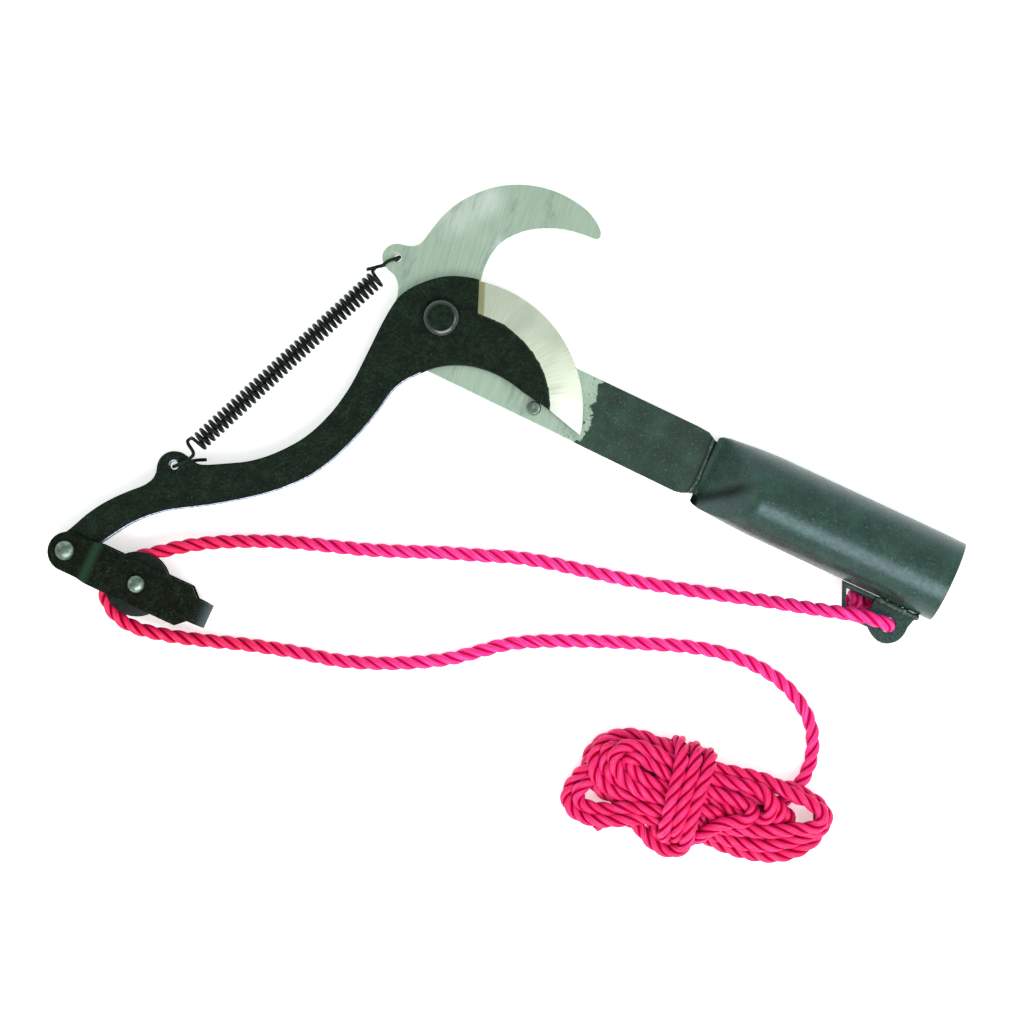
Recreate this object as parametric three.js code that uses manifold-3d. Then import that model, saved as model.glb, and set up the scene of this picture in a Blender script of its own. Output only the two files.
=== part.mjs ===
// Rope-worked pruning head for a long pole. A hook plate is welded into a pole socket,
// a forged blade lever turns on a pivot pin, a coil spring pulls it open against a stop pin,
// and a rope that runs from a lug on the socket round a swivelling pulley block closes it.
// Millimetres. The head lies on its side: +X runs along the socket to its mouth,
// +Y points to the hook side, and +Z points up. Outlines are drawn about the pivot pin,
// and the whole group is moved at the end so that its base centre is the origin.

import * as THREE from 'three';
import { mergeVertices } from 'three/addons/utils/BufferGeometryUtils.js';
import Module from 'manifold-3d';

const wasm = await Module();
wasm.setup();

// Driving dimensions
const clearance = 0.3;
const plateLow = 2.6;
const plateThick = 4;
const leverThick = 5;
const pinRadius = 4;
const bushRadius = 6;
const bladeCentre = [20, -32];
const bladeRadius = 54.3;
const bevelWidth = 14.3;
const edgeThick = 0.5;
const stopPin = [50.6, -17.6];
const stopPinRadius = 3;
const springEye = [-27.3, 15.3];
const springLug = [-74.5, -102];
const springRadius = 4.2;
const wireRadius = 0.7;
const swivel = [-100.4, -153];
const axle = [-67.6, -153];
const rivetShank = 2.5;
const strapThick = 2;
const throatHalf = 5.5;
const noseHalf = leverThick / 2 + clearance;
const neckEnd = -35;
const wheelRadius = 13.5;
const wheelHalf = 4.6;
const grooveRadius = 6.4;
const socketRadius = 17.5;
const socketWall = 1.6;
const socketY = -10.4;
const socketFront = 125.6;
const socketRoundFrom = 152;
const socketMouth = 236;
const tangEnd = 149;
const tangInside = [-21.6, 2.2];
const lugLow = 15.5;
const lugThick = 3;
const lugHole = [220.8, -37];
const ropeRadius = 3;
const ropeFloor = ropeRadius + 0.1;
const hankHeight = 18;

// Heights that follow from them
const plateHigh = plateLow + plateThick;
const leverLow = plateHigh + clearance;
const leverHigh = leverLow + leverThick;
const middle = (leverLow + leverHigh) / 2;
const lugHigh = lugLow + lugThick;

// Bounds of the head without its rope, which place the origin
const headLow = [swivel[0] - 7.2, axle[1] - wheelRadius];
const headHigh = [socketMouth, 68.2];

const looks = {
  groundSteel: ['#b9c3b8', 0.38, 0.85],
  blackForging: ['#2c352f', 0.62, 0.45],
  blackPaint: ['#3b443f', 0.32, 0.3],
  zincSteel: ['#b4b8b0', 0.35, 0.9],
  springWire: ['#1d2422', 0.4, 0.6],
  blackWheel: ['#1b201d', 0.5, 0.2],
  weldMetal: ['#454b47', 0.55, 0.5],
  redRope: ['#d81f57', 0.75, 0],
};

const part = new THREE.Group();
part.name = 'rope_pruning_head';

function addPiece(name, geometry, look) {
  const [color, roughness, metalness] = looks[look];
  const material = new THREE.MeshStandardMaterial({ color, roughness, metalness });
  const mesh = new THREE.Mesh(geometry, material);
  mesh.name = name;
  part.add(mesh);
}

// Points of a smooth curve through the given ones
function smooth(points, samples) {
  return new THREE.SplineCurve(points.map(([x, y]) => new THREE.Vector2(x, y))).getPoints(samples);
}

// Points of a circular arc between two angles in degrees
function arc([x, y], radius, from, to, samples) {
  return Array.from({ length: samples + 1 }, (_, i) => {
    const angle = THREE.MathUtils.degToRad(from + ((to - from) * i) / samples);
    return new THREE.Vector2(x + radius * Math.cos(angle), y + radius * Math.sin(angle));
  });
}

function corners(...points) {
  return points.map(([x, y]) => new THREE.Vector2(x, y));
}

// Closed outline from its stretches in order, with round holes as [centre, radius]
function outline(stretches, holes = []) {
  const points = stretches.flat().filter((p, i, all) => i === 0 || p.distanceTo(all[i - 1]) > 0.05);
  if (points[0].distanceTo(points[points.length - 1]) < 0.05) points.pop();
  if (THREE.ShapeUtils.isClockWise(points)) points.reverse();
  const shape = new THREE.Shape(points);
  for (const [centre, radius] of holes) {
    shape.holes.push(new THREE.Path(arc(centre, radius, 360, 0, 20).slice(0, -1)));
  }
  return shape;
}

function slab(shape, low, high) {
  const geometry = new THREE.ExtrudeGeometry(shape, { depth: high - low, bevelEnabled: false });
  return geometry.translate(0, 0, low);
}

// Turned piece about a vertical axis at [x, y]; the profile is [radius, height] pairs
function turned([x, y], profile, segments = 28) {
  const points = profile.map(([radius, height]) => new THREE.Vector2(radius, height));
  return new THREE.LatheGeometry(points, segments).rotateX(Math.PI / 2).translate(x, y, 0);
}

// Round section carried along a curve
function sweep(path, radius, sides, steps) {
  const section = new THREE.Shape(arc([0, 0], radius, 0, 360, sides).slice(0, -1));
  return new THREE.ExtrudeGeometry(section, { steps, extrudePath: path, bevelEnabled: false });
}

// Round bar along a smooth route
function bar(route, radius, sides, steps) {
  const points = route.map((p) => new THREE.Vector3(...p));
  return sweep(new THREE.CatmullRomCurve3(points, false, 'centripetal'), radius, sides, steps);
}

function solid(geometry) {
  const bare = geometry.index ? geometry.toNonIndexed() : geometry.clone();
  bare.deleteAttribute('normal');
  bare.deleteAttribute('uv');
  const merged = mergeVertices(bare, 1e-4);
  return new wasm.Manifold(new wasm.Mesh({
    numProp: 3,
    vertProperties: new Float32Array(merged.attributes.position.array),
    triVerts: new Uint32Array(merged.index.array),
  }));
}

function skin(body) {
  const { vertProperties, triVerts } = body.getMesh();
  const geometry = new THREE.BufferGeometry();
  geometry.setAttribute('position', new THREE.BufferAttribute(vertProperties, 3));
  geometry.setIndex(new THREE.BufferAttribute(triVerts, 1));
  return geometry;
}

function joined(...geometries) {
  return skin(geometries.map(solid).reduce((all, next) => all.add(next)));
}

// Hook plate: the hook, the spring lug, the disc round the pivot and the tang, in one sheet
function hookPlate() {
  const tangTop = corners([tangEnd, tangInside[1]], [124.8, tangInside[1]], [121, 4.3], [116, 4.7], [61, 5.2]);
  const mouth = smooth([
    [61, 5.2], [45, 5.4], [32, 5.8], [22, 7.6], [14.6, 11.6], [10.4, 16.5], [8.3, 21.2], [7.3, 29],
    [8.2, 36], [10.6, 41.4], [15.3, 46.8], [21, 50.9], [28, 54.2], [35, 56], [41, 56.7], [44.2, 57],
  ], 36);
  const tip = smooth([[44.2, 57], [45.5, 57.9], [45.6, 59.2], [45, 60.8]], 5);
  const back = smooth([
    [45, 60.8], [41.5, 63.8], [35, 66.8], [24.5, 68.2], [15, 67.3], [6.5, 64.6], [-1.5, 60.2],
    [-8, 54.5], [-13.5, 47.5], [-17, 40.5], [-18.9, 34], [-20.2, 27.5],
  ], 28);
  const lug = smooth([
    [-20.2, 27.5], [-21.4, 24.2], [-24, 22.2], [-27, 21.3], [-29.7, 20.7], [-32.5, 18.4], [-33.6, 14.8],
    [-32.3, 11.5], [-29.2, 9.4], [-25.2, 8.1], [-22.2, 5.2], [-20.6, 1],
  ], 24);
  const heel = smooth([[-20.6, 1], [-19.5, -6], [-16, -13], [-10, -18.5], [-2, -21.6], [4.5, -22.2]], 10);
  const tangFoot = corners([118, -24], [121, -23.4], [124.8, tangInside[0]], [tangEnd, tangInside[0]]);
  const holes = [[[0, 0], pinRadius + clearance], [stopPin, 2 + clearance], [springEye, 1.6]];
  const shape = outline([tangTop, mouth, tip, back, lug, heel, tangFoot], holes);
  return slab(shape, plateLow, plateHigh);
}

// Blade lever: one forging, with the cutting bevel ground as part of a cone round bladeCentre
function bladeLever() {
  const crown = smooth([
    [7.5, 21.2], [3, 20.2], [-3, 18], [-8, 15], [-12.5, 11], [-16.5, 6.4], [-19.3, 1.5], [-20.5, -3.5],
    [-21.3, -12], [-21.6, -25], [-22, -38], [-22.9, -46], [-24.6, -54], [-27.5, -62.5], [-31, -69.5],
    [-35.5, -75.8], [-41, -82], [-47.5, -87.5], [-55, -92], [-61.5, -95.6], [-65.5, -97.2], [-69, -97],
  ], 40);
  const lug = smooth([
    [-69, -97], [-71.5, -96.2], [-75, -96], [-78.6, -97.6], [-80.8, -100.8], [-81.1, -104.2], [-80.2, -107.5],
  ], 12);
  const shin = smooth([
    [-80.2, -107.5], [-80.3, -110.8], [-82.5, -114.8], [-86.5, -119], [-91, -124], [-95.5, -130],
    [-99.2, -136.5], [-102.3, -143.5], [-105.3, -148.7],
  ], 12);
  const end = arc(swivel, 6.6, 140, 342, 12);
  const inside = smooth([
    [-91.5, -149.5], [-88.2, -144], [-84, -137], [-80, -131.1], [-75, -125.5], [-69, -120.3],
    [-62, -115.8], [-54, -110.8], [-45, -104.5], [-36, -97.5], [-28, -90], [-21, -81.5], [-16, -72.5],
    [-12, -62.5], [-9, -53], [-7, -44.5], [-5.4, -36], [-2.6, -30], [1, -25.5], [5, -21], [9, -17.8],
    [14, -15], [20, -12.8], [27, -11.6], [33, -11.6], [39, -12.3], [44, -13.5], [50, -14.3], [57, -15.6],
  ], 48);
  const edge = arc(bladeCentre, bladeRadius, 13.2, 103, 26);
  const holes = [[[0, 0], bushRadius + clearance], [swivel, rivetShank + clearance], [springLug, 1.8]];
  const forging = solid(slab(outline([crown, lug, shin, end, inside, edge], holes), leverLow, leverHigh));

  const inner = bladeRadius - bevelWidth;
  const reach = bladeRadius + 6;
  const drop = leverThick - edgeThick;
  const low = leverHigh - (drop * (reach - inner)) / bevelWidth;
  const cone = turned(bladeCentre, [[inner, leverHigh], [reach, low], [reach, leverHigh + 2], [inner, leverHigh + 2],
    [inner, leverHigh]], 96);
  const shoulder = outline([corners([7.4, 21.6], [13, 8.2], [13, -60], [90, -60], [90, 60], [-9, 60])]);
  const grinding = solid(cone).intersect(solid(slab(shoulder, leverLow - 5, leverHigh + 5)));
  return skin(forging.subtract(grinding));
}

function pivotPin() {
  const head = leverHigh + clearance;
  return turned([0, 0], [
    [0, 0], [4.8, 0], [5.6, 0.5], [5.5, 1], [pinRadius, 1], [pinRadius, head], [7.7, head],
    [7.7, head + 0.9], [6.9, head + 3.1], [5.7, head + 4.1], [0, head + 4.1],
  ]);
}

function ring(centre, inner, outer, low, high) {
  return turned(centre, [[inner, low], [outer, low], [outer, high], [inner, high], [inner, low]]);
}

function stopPinPiece() {
  return turned(stopPin, [
    [0, 1.4], [2.3, 1.4], [2.8, 1.9], [2.8, plateLow - clearance], [2, plateLow - clearance], [2, leverLow],
    [stopPinRadius, leverLow], [stopPinRadius, leverHigh - 0.9], [2.3, leverHigh - 0.3], [0, leverHigh],
  ], 20);
}

// Rivet through a pair of cheeks: domed head above, flatter upset end below
function rivet(centre, cheekFace, headRadius, headHeight, tailHeight) {
  const top = middle + cheekFace + clearance;
  const foot = middle - cheekFace - clearance;
  return turned(centre, [
    [0, foot - tailHeight], [headRadius * 0.6, foot - tailHeight], [headRadius * 0.92, foot - tailHeight / 2],
    [headRadius * 0.92, foot], [rivetShank, foot], [rivetShank, top], [headRadius, top],
    [headRadius * 0.95, top + headHeight * 0.35], [headRadius * 0.72, top + headHeight * 0.75],
    [headRadius * 0.35, top + headHeight * 0.96], [0, top + headHeight],
  ], 20);
}

// Pulley block strap: a flat bar folded into a U, joggled in to the lever's thickness at its open end
function bracketStrap() {
  const bend = [neckEnd - throatHalf - strapThick, 0];
  const side = (offset, bendRadius) => [
    ...corners([-110, noseHalf + offset], [-92.5 + offset * 0.3, noseHalf + offset],
      [-87 - offset * 0.3, throatHalf + offset]),
    ...arc(bend, bendRadius, 90, -90, 10),
    ...corners([-87 - offset * 0.3, -throatHalf - offset], [-92.5 + offset * 0.3, -noseHalf - offset],
      [-110, -noseHalf - offset]),
  ];
  const fold = outline([side(strapThick, throatHalf + strapThick), side(0, throatHalf).reverse()]);
  const folded = new THREE.ExtrudeGeometry(fold, { depth: 24, bevelEnabled: false })
    .rotateX(Math.PI / 2).translate(0, axle[1] + 12, middle);
  const nose = arc([swivel[0] + 1.1, axle[1]], 8.3, 270, 90, 12);
  const rim = corners([-92, axle[1] + 8.3], [-87.5, axle[1] + 8.9], [-46.2, axle[1] + 8.9],
    [-42.2, axle[1] + 5.1], [-34, axle[1] + 5.1], [-34, axle[1] - 5.1], [-42.2, axle[1] - 5.1],
    [-46.2, axle[1] - 8.9], [-87.5, axle[1] - 8.9], [-92, axle[1] - 8.3]);
  const holes = [[swivel, rivetShank + clearance], [axle, rivetShank + clearance]];
  const plan = slab(outline([nose, rim], holes), 0, middle * 2);
  return skin(solid(folded).intersect(solid(plan)));
}

function pulleyWheel() {
  const half = [[13.5, 3.8], [11, 3.5], [9.4, 2.9], [7.6, 1.8]];
  const groove = [...half, [grooveRadius, 0], ...half.map(([r, z]) => [r, -z]).reverse()];
  const bore = 4 + clearance;
  return turned(axle, [
    [bore, -wheelHalf], [bore, wheelHalf], [wheelRadius, wheelHalf], ...groove, [wheelRadius, -wheelHalf],
    [bore, -wheelHalf],
  ].reverse().map(([r, z]) => [r, z + middle]), 36);
}

// Socket section at a station: round to the rear, pressed down on the tang at the front
function socketSection(x) {
  const pressed = THREE.MathUtils.smoothstep(socketRoundFrom - x, 0, socketRoundFrom - socketFront);
  const halfWidth = THREE.MathUtils.lerp(socketRadius, 14.7, pressed);
  const centre = THREE.MathUtils.lerp(socketRadius, 7.2, pressed);
  const below = THREE.MathUtils.lerp(socketRadius, 6.6, pressed);
  const above = THREE.MathUtils.lerp(socketRadius, 6, pressed);
  const squareness = THREE.MathUtils.lerp(1, 0.55, pressed);
  return Array.from({ length: 36 }, (_, i) => {
    const angle = (i / 36) * Math.PI * 2;
    const across = Math.sign(Math.cos(angle)) * Math.abs(Math.cos(angle)) ** squareness;
    const up = Math.sign(Math.sin(angle)) * Math.abs(Math.sin(angle)) ** squareness;
    const dent = up > 0 ? 4 * pressed * up * Math.exp(-((across / 0.6) ** 4)) : 0;
    return [x, socketY + across * halfWidth, centre + up * (up > 0 ? above : below) - dent];
  });
}

// Closed solid skinned over rings of equal count, with a flat fan on each end
function skinned(rings) {
  const count = rings[0].length;
  const middleOf = (ringPoints) => [0, 1, 2].map((k) => ringPoints.reduce((sum, p) => sum + p[k], 0) / count);
  const points = [...rings.flat(), middleOf(rings[0]), middleOf(rings[rings.length - 1])];
  const index = [];
  for (let i = 0; i < count; i += 1) {
    const next = (i + 1) % count;
    for (let r = 0; r + 1 < rings.length; r += 1) {
      const [a, b, c, d] = [r * count + i, r * count + next, (r + 1) * count + i, (r + 1) * count + next];
      index.push(a, b, c, b, d, c);
    }
    const last = (rings.length - 1) * count;
    index.push(rings.length * count, next, i, rings.length * count + 1, last + i, last + next);
  }
  const geometry = new THREE.BufferGeometry();
  geometry.setAttribute('position', new THREE.Float32BufferAttribute(points.flat(), 3));
  geometry.setIndex(index);
  return geometry;
}

function socketTube() {
  const stations = [socketFront, 128, 131, 135, 139, 143, 147, socketRoundFrom, socketMouth];
  const outside = solid(skinned(stations.map(socketSection)));
  const boreLength = socketMouth + 1 - socketRoundFrom;
  const bore = new THREE.CylinderGeometry(socketRadius - socketWall, socketRadius - socketWall, boreLength, 36)
    .rotateZ(Math.PI / 2).translate(socketRoundFrom + boreLength / 2, socketY, socketRadius);
  const [low, high] = tangInside;
  const slotLength = socketRoundFrom + 1 - socketFront + 1;
  const slot = new THREE.BoxGeometry(slotLength, high - low + 2 * clearance, plateThick + 2 * clearance)
    .translate(socketFront - 1 + slotLength / 2, (low + high) / 2, plateLow + plateThick / 2);
  return skin(outside.subtract(solid(bore)).subtract(solid(slot)));
}

function ropeLug() {
  const back = socketY - socketRadius - clearance;
  const shape = outline([
    corners([196, back], [231, back], [229.6, -31.4], [228.8, -34.5]),
    smooth([[228.8, -34.5], [228.6, -38], [227.2, -41.5], [224, -44.2], [220.4, -44.9], [216.6, -43.6],
      [213.6, -41.4]], 12),
    corners([206, -41.6], [200.8, -39]),
  ], [[lugHole, 3.9]]);
  const window = new THREE.Path(corners([201, back - 1.6], [204, -37.6], [211.6, -37.6], [211.6, back - 1.6]));
  shape.holes.push(window);
  return slab(shape, lugLow, lugHigh);
}

// Rope route from the lug round the pulley to the hank
const ropeRoute = [
  [220.8, -37, 14.2], [221.2, -37, 19.5], [219.4, -37.1, 23.8], [213.4, -37.6, 25.8], [205, -38.9, 24.8],
  [197, -40.7, 22], [187, -43.2, 17], [175, -46.6, 11.4], [163, -50.3, 6.8], [150, -54.4, 4.1],
  [138, -58, ropeFloor], [125, -61.7, ropeFloor], [112, -65, ropeFloor], [98, -68.2, ropeFloor],
  [84, -71.3, ropeFloor], [70, -75.2, ropeFloor], [55.7, -80.8, ropeFloor], [40, -87.2, ropeFloor],
  [25, -94, ropeFloor], [10, -100.4, ropeFloor], [-5, -105.9, ropeFloor], [-20, -111.7, ropeFloor],
  [-35, -118.4, 3.9], [-48, -125.2, 6], [-58.6, -132.1, 8.3], [-64.6, -136.8, 9.1],
  [-70.6, -141.6, middle], [-76.2, -146.6, middle], [-79.7, -153.4, middle], [-79.1, -160.9, middle],
  [-74.2, -166.5, middle], [-67, -169.5, middle], [-59.6, -169.8, 9.1],
  [-51.5, -168.3, 8], [-43.5, -166.3, 6.2], [-33, -163, 4.1], [-16.7, -157.3, ropeFloor],
  [2, -151.4, ropeFloor], [20.7, -146.4, ropeFloor], [34.7, -140.8, ropeFloor], [48.7, -133.6, ropeFloor],
  [62, -125.6, ropeFloor], [71.5, -118, ropeFloor], [80.4, -110.6, ropeFloor], [91, -104.2, ropeFloor],
  [105, -97.4, ropeFloor], [121, -90.4, ropeFloor], [135, -84.8, ropeFloor], [149, -79.4, ropeFloor],
  [163, -75.6, ropeFloor], [177, -74.2, ropeFloor], [190, -75.6, ropeFloor], [200.5, -79.6, ropeFloor],
  [209, -86.6, ropeFloor], [214.2, -95.6, ropeFloor], [216, -104, 4], [215.4, -111.6, 5.5],
];
const turnStart = 25;
const turnEnd = 32;
const jointGap = 0.03;

// Stretch of the rope between two places counted along ropeRoute's points
class RopeStretch extends THREE.Curve {
  constructor(from, to) {
    super();
    this.whole = new THREE.CatmullRomCurve3(ropeRoute.map((p) => new THREE.Vector3(...p)), false, 'centripetal');
    this.from = from;
    this.to = to;
  }

  getPoint(t, target) {
    const place = THREE.MathUtils.lerp(this.from, this.to, t) / (ropeRoute.length - 1);
    return this.whole.getPoint(place, target);
  }
}

function ropeStretch(from, to, steps) {
  return sweep(new RopeStretch(from, to), ropeRadius, 8, steps);
}

function ropeKnot() {
  const body = new THREE.CapsuleGeometry(6.4, 8.5, 6, 16).rotateZ(Math.PI / 2).translate(207.4, -35, 8.6);
  const riser = bar([[210, -35.4, 8], [217.6, -36.6, 7.4], [220.4, -37, 10.2], [220.8, -37, 13.7]], ropeRadius, 10, 8);
  return joined(body, riser);
}

function ropeHank() {
  const shape = outline([smooth([
    [138, -121.6], [150, -120], [162, -118], [178, -117], [192, -117.2], [204, -114.6], [215, -112.9],
    [226, -115.6], [234.6, -119.4], [235, -126], [231.6, -134], [228.6, -142], [219, -148.4], [205, -151],
    [192, -152], [185, -157.6], [176, -159.8], [167, -156.4], [157, -158.2], [148, -163.2], [137, -164.2],
    [130.6, -158.6], [130.4, -146], [130.6, -134], [133.4, -126], [138, -121.6],
  ], 44)]);
  return slab(shape, 0.2, 0.2 + hankHeight);
}

// Return spring: its coil as one bar of the coil's outer size, with a wire hook at each end
function returnSpring() {
  const coilTop = [-31.1, 4.6, 6.9];
  const coilFoot = [-69.8, -90, middle];
  const coil = bar([coilTop, coilFoot], springRadius, 14, 4);
  const upperHook = bar([[-32, 3, 6.9], [-29.8, 8.6, 7.8], [-28, 13, 8.6], [...springEye, 7.2], [...springEye, 4],
    [...springEye, 1.6]], wireRadius, 8, 14);
  const lowerHook = bar([[-69, -88, middle], [-68.4, -94, 11.6], [-71.2, -98, 13.4], [-73.8, -101, 13.4],
    [...springLug, 11.4], [...springLug, 9], [...springLug, 5.4]], wireRadius, 8, 16);
  return joined(coil, upperHook, lowerHook);
}

const pinHeadTail = plateLow - clearance;
const bushFoot = leverLow;
const bushTop = leverHigh;
const axleFace = throatHalf + strapThick;
const noseFace = noseHalf + strapThick;
const washerThick = 0.5;

addPiece('hook_plate', hookPlate(), 'groundSteel');
addPiece('stop_pin', stopPinPiece(), 'zincSteel');
addPiece('pivot_pin', pivotPin(), 'blackForging');
addPiece('pivot_washer', ring([0, 0], pinRadius + clearance, 7.5, 1.3, pinHeadTail), 'zincSteel');
addPiece('pivot_bush', ring([0, 0], pinRadius + clearance, bushRadius, bushFoot, bushTop), 'zincSteel');
addPiece('blade_lever', bladeLever(), 'blackForging');
addPiece('return_spring', returnSpring(), 'springWire');
addPiece('bracket_strap', bracketStrap(), 'blackForging');
addPiece('swivel_rivet', rivet(swivel, noseFace, 4.2, 2.9, 2.2), 'zincSteel');
addPiece('pulley_axle_rivet', rivet(axle, axleFace, 3.75, 2.6, middle - axleFace - clearance), 'zincSteel');
addPiece('pulley_bush', ring(axle, rivetShank + clearance, 4, middle - throatHalf + clearance,
  middle + throatHalf - clearance), 'zincSteel');
addPiece('pulley_wheel', pulleyWheel(), 'blackWheel');
addPiece('pulley_washer_upper', ring(axle, 4 + clearance, 8, middle + throatHalf - 0.1 - washerThick,
  middle + throatHalf - 0.1), 'zincSteel');
addPiece('pulley_washer_lower', ring(axle, 4 + clearance, 8, middle - throatHalf + 0.1,
  middle - throatHalf + 0.1 + washerThick), 'zincSteel');
addPiece('socket_tube', socketTube(), 'blackPaint');
addPiece('socket_weld', bar([[123.6, 1.6, 8], [124, -4, 8], [123.9, -10, 8], [124, -16, 8], [123.7, -21.4, 8]],
  1.1, 8, 10), 'weldMetal');
addPiece('socket_weld_back', bar([[124.2, 0.8, 1.3], [124.2, -20.4, 1.3]], 0.9, 8, 2), 'weldMetal');
addPiece('rope_lug', ropeLug(), 'blackPaint');
addPiece('rope_lug_weld', bar([[214, -29.6, lugHigh + 1.4], [229, -29.6, lugHigh + 1.4]], 1.1, 8, 3), 'weldMetal');
addPiece('rope_lug_weld_back', bar([[198, -29.6, lugLow - 1.4], [229, -29.6, lugLow - 1.4]], 1.1, 8, 3), 'weldMetal');
addPiece('rope_knot', ropeKnot(), 'redRope');
addPiece('rope_upper_run', ropeStretch(0, turnStart - jointGap, 32), 'redRope');
addPiece('rope_pulley_turn', ropeStretch(turnStart + jointGap, turnEnd - jointGap, 16), 'redRope');
addPiece('rope_lower_run', ropeStretch(turnEnd + jointGap, ropeRoute.length - 1, 30), 'redRope');
addPiece('rope_hank', ropeHank(), 'redRope');

part.position.set(-(headLow[0] + headHigh[0]) / 2, -(headLow[1] + headHigh[1]) / 2, 0);

export default part;
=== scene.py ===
# Rope-worked tree pruning head, lying on its side on a pale floor.
# Sizes are millimetres measured from the pivot pin; place() turns them into the frame's metres.
import math

import bmesh
import bpy
import numpy as np
from mathutils import Matrix, Vector


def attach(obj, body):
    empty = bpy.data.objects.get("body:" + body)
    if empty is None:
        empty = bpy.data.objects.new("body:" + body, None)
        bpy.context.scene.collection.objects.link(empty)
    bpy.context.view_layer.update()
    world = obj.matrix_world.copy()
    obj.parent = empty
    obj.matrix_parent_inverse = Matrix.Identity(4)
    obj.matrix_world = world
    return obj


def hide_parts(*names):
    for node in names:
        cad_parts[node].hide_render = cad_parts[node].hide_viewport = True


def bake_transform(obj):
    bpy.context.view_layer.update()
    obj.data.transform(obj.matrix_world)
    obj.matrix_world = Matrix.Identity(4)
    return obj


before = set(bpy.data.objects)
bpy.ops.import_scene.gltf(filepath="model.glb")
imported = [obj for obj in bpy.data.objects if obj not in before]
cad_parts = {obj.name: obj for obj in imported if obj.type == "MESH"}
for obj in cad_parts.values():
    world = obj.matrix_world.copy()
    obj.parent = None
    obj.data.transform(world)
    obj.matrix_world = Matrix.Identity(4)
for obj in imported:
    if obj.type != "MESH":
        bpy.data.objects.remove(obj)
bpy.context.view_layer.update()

MM = 0.001
PIVOT = (-64.2, 49.15, 0.0)
LEVER_LOW, LEVER_HIGH = 6.9, 11.9
PLATE_LOW, PLATE_HIGH = 2.6, 6.6
MIDDLE = 9.4
SWIVEL = (-100.4, -153)
AXLE = (-67.6, -153)
STOP_PIN = (50.6, -17.6)
BLADE_CENTRE = (20, -32)
BLADE_RADIUS = 54.3
BEVEL_WIDTH = 14.3
EDGE_THICK = 0.5
SHOULDER_LEAN, SHOULDER_TINT_END = 0.42, 13.2
PAINT_EDGE = 73.0
STRAP_JOGGLE, STRAP_FOLD = -89, -40
SOCKET_Y, SOCKET_RADIUS, SOCKET_WALL = -10.4, 17.5, 1.6
SOCKET_FRONT, SOCKET_ROUND, SOCKET_MOUTH = 125.6, 152, 236
CREASE_START, CREASE_RUN, CREASE_FADES = (126, -24.5), (0.795, 0.606), (139, 150)
ROPE_LAY = 20.0
SPRING_WIRE_RADIUS = 0.74
CAMERA_HEIGHT = 1.7

scene = bpy.context.scene
scene.view_settings.view_transform = "Standard"


def place(point):
    return Vector([(point[k] + PIVOT[k]) * MM for k in range(3)])


def in_metres(points):
    return (np.asarray(points, float) + np.array(PIVOT)) * MM


def hex_colour(code):
    """Linear RGBA from an sRGB hex value."""
    parts = [int(code[i:i + 2], 16) / 255 for i in (1, 3, 5)]
    return tuple(c / 12.92 if c < 0.04045 else ((c + 0.055) / 1.055) ** 2.4 for c in parts) + (1.0,)


def put(node, key, value):
    """A node's input, linked when the value is another node's socket and set when it is a constant."""
    if isinstance(value, bpy.types.NodeSocket):
        node.id_data.links.new(value, node.inputs[key])
    else:
        node.inputs[key].default_value = value


def add(tree, kind, inputs=None, **settings):
    """A node with its settings and its inputs."""
    node = tree.nodes.new(kind)
    for key, value in settings.items():
        setattr(node, key, value)
    for key, value in (inputs or {}).items():
        put(node, key, value)
    return node


# ---------------------------------------------------------------- camera and light
def set_camera():
    data = bpy.data.cameras.new("view")
    camera = bpy.data.objects.new("view", data)
    scene.collection.objects.link(camera)
    data.sensor_width = 36
    data.lens = 36 * CAMERA_HEIGHT / 0.425
    data.clip_end = 20
    camera.location = (-0.00363, -0.01121, CAMERA_HEIGHT + MIDDLE * MM)
    camera.rotation_euler = (0, 0, math.radians(25))
    scene.camera = camera


def area_light(name, direction, distance, size, power, colour):
    data = bpy.data.lights.new(name, "AREA")
    data.shape = "RECTANGLE"
    data.size, data.size_y = size
    data.energy = power
    data.color = hex_colour(colour)[:3]
    light = bpy.data.objects.new(name, data)
    scene.collection.objects.link(light)
    away = Vector(direction).normalized()
    light.location = away * distance
    light.rotation_euler = away.to_track_quat("Z", "Y").to_euler()


def set_light():
    world = bpy.data.worlds.new("studio")
    scene.world = world
    world.use_nodes = True
    tree = world.node_tree
    back = tree.nodes["Background"]
    put(back, "Color", hex_colour("#f1f8f5"))
    coords = add(tree, "ShaderNodeTexCoord").outputs["Generated"]
    up = add(tree, "ShaderNodeSeparateXYZ", {0: coords}).outputs["Z"]
    put(back, "Strength", span(tree, up, 0.1, 0.9, 1.30, 0.72))
    area_light("key", (0.45, -0.62, 1.05), 1.6, (1.3, 0.9), 22, "#ffffff")
    area_light("side", (0.95, 0.35, 1.45), 1.7, (0.6, 0.6), 4, "#ffffff")


# ---------------------------------------------------------------- materials
def new_material(name):
    material = bpy.data.materials.new(name)
    material.use_nodes = True
    tree = material.node_tree
    return material, tree, tree.nodes["Principled BSDF"]


def object_coords(tree):
    return add(tree, "ShaderNodeTexCoord").outputs["Object"]


def split(tree, vector):
    """The x, y and z of a vector."""
    return tuple(add(tree, "ShaderNodeSeparateXYZ", {0: vector}).outputs)


def in_plan(tree, x, y):
    return add(tree, "ShaderNodeCombineXYZ", {"X": x, "Y": y}).outputs[0]


def noise(tree, vector, size_mm, detail=3.0, rough=0.55):
    """Noise whose largest blobs are size_mm across."""
    return add(tree, "ShaderNodeTexNoise", {
        "Vector": vector, "Scale": 1000 / size_mm, "Detail": detail, "Roughness": rough}).outputs["Fac"]


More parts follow.
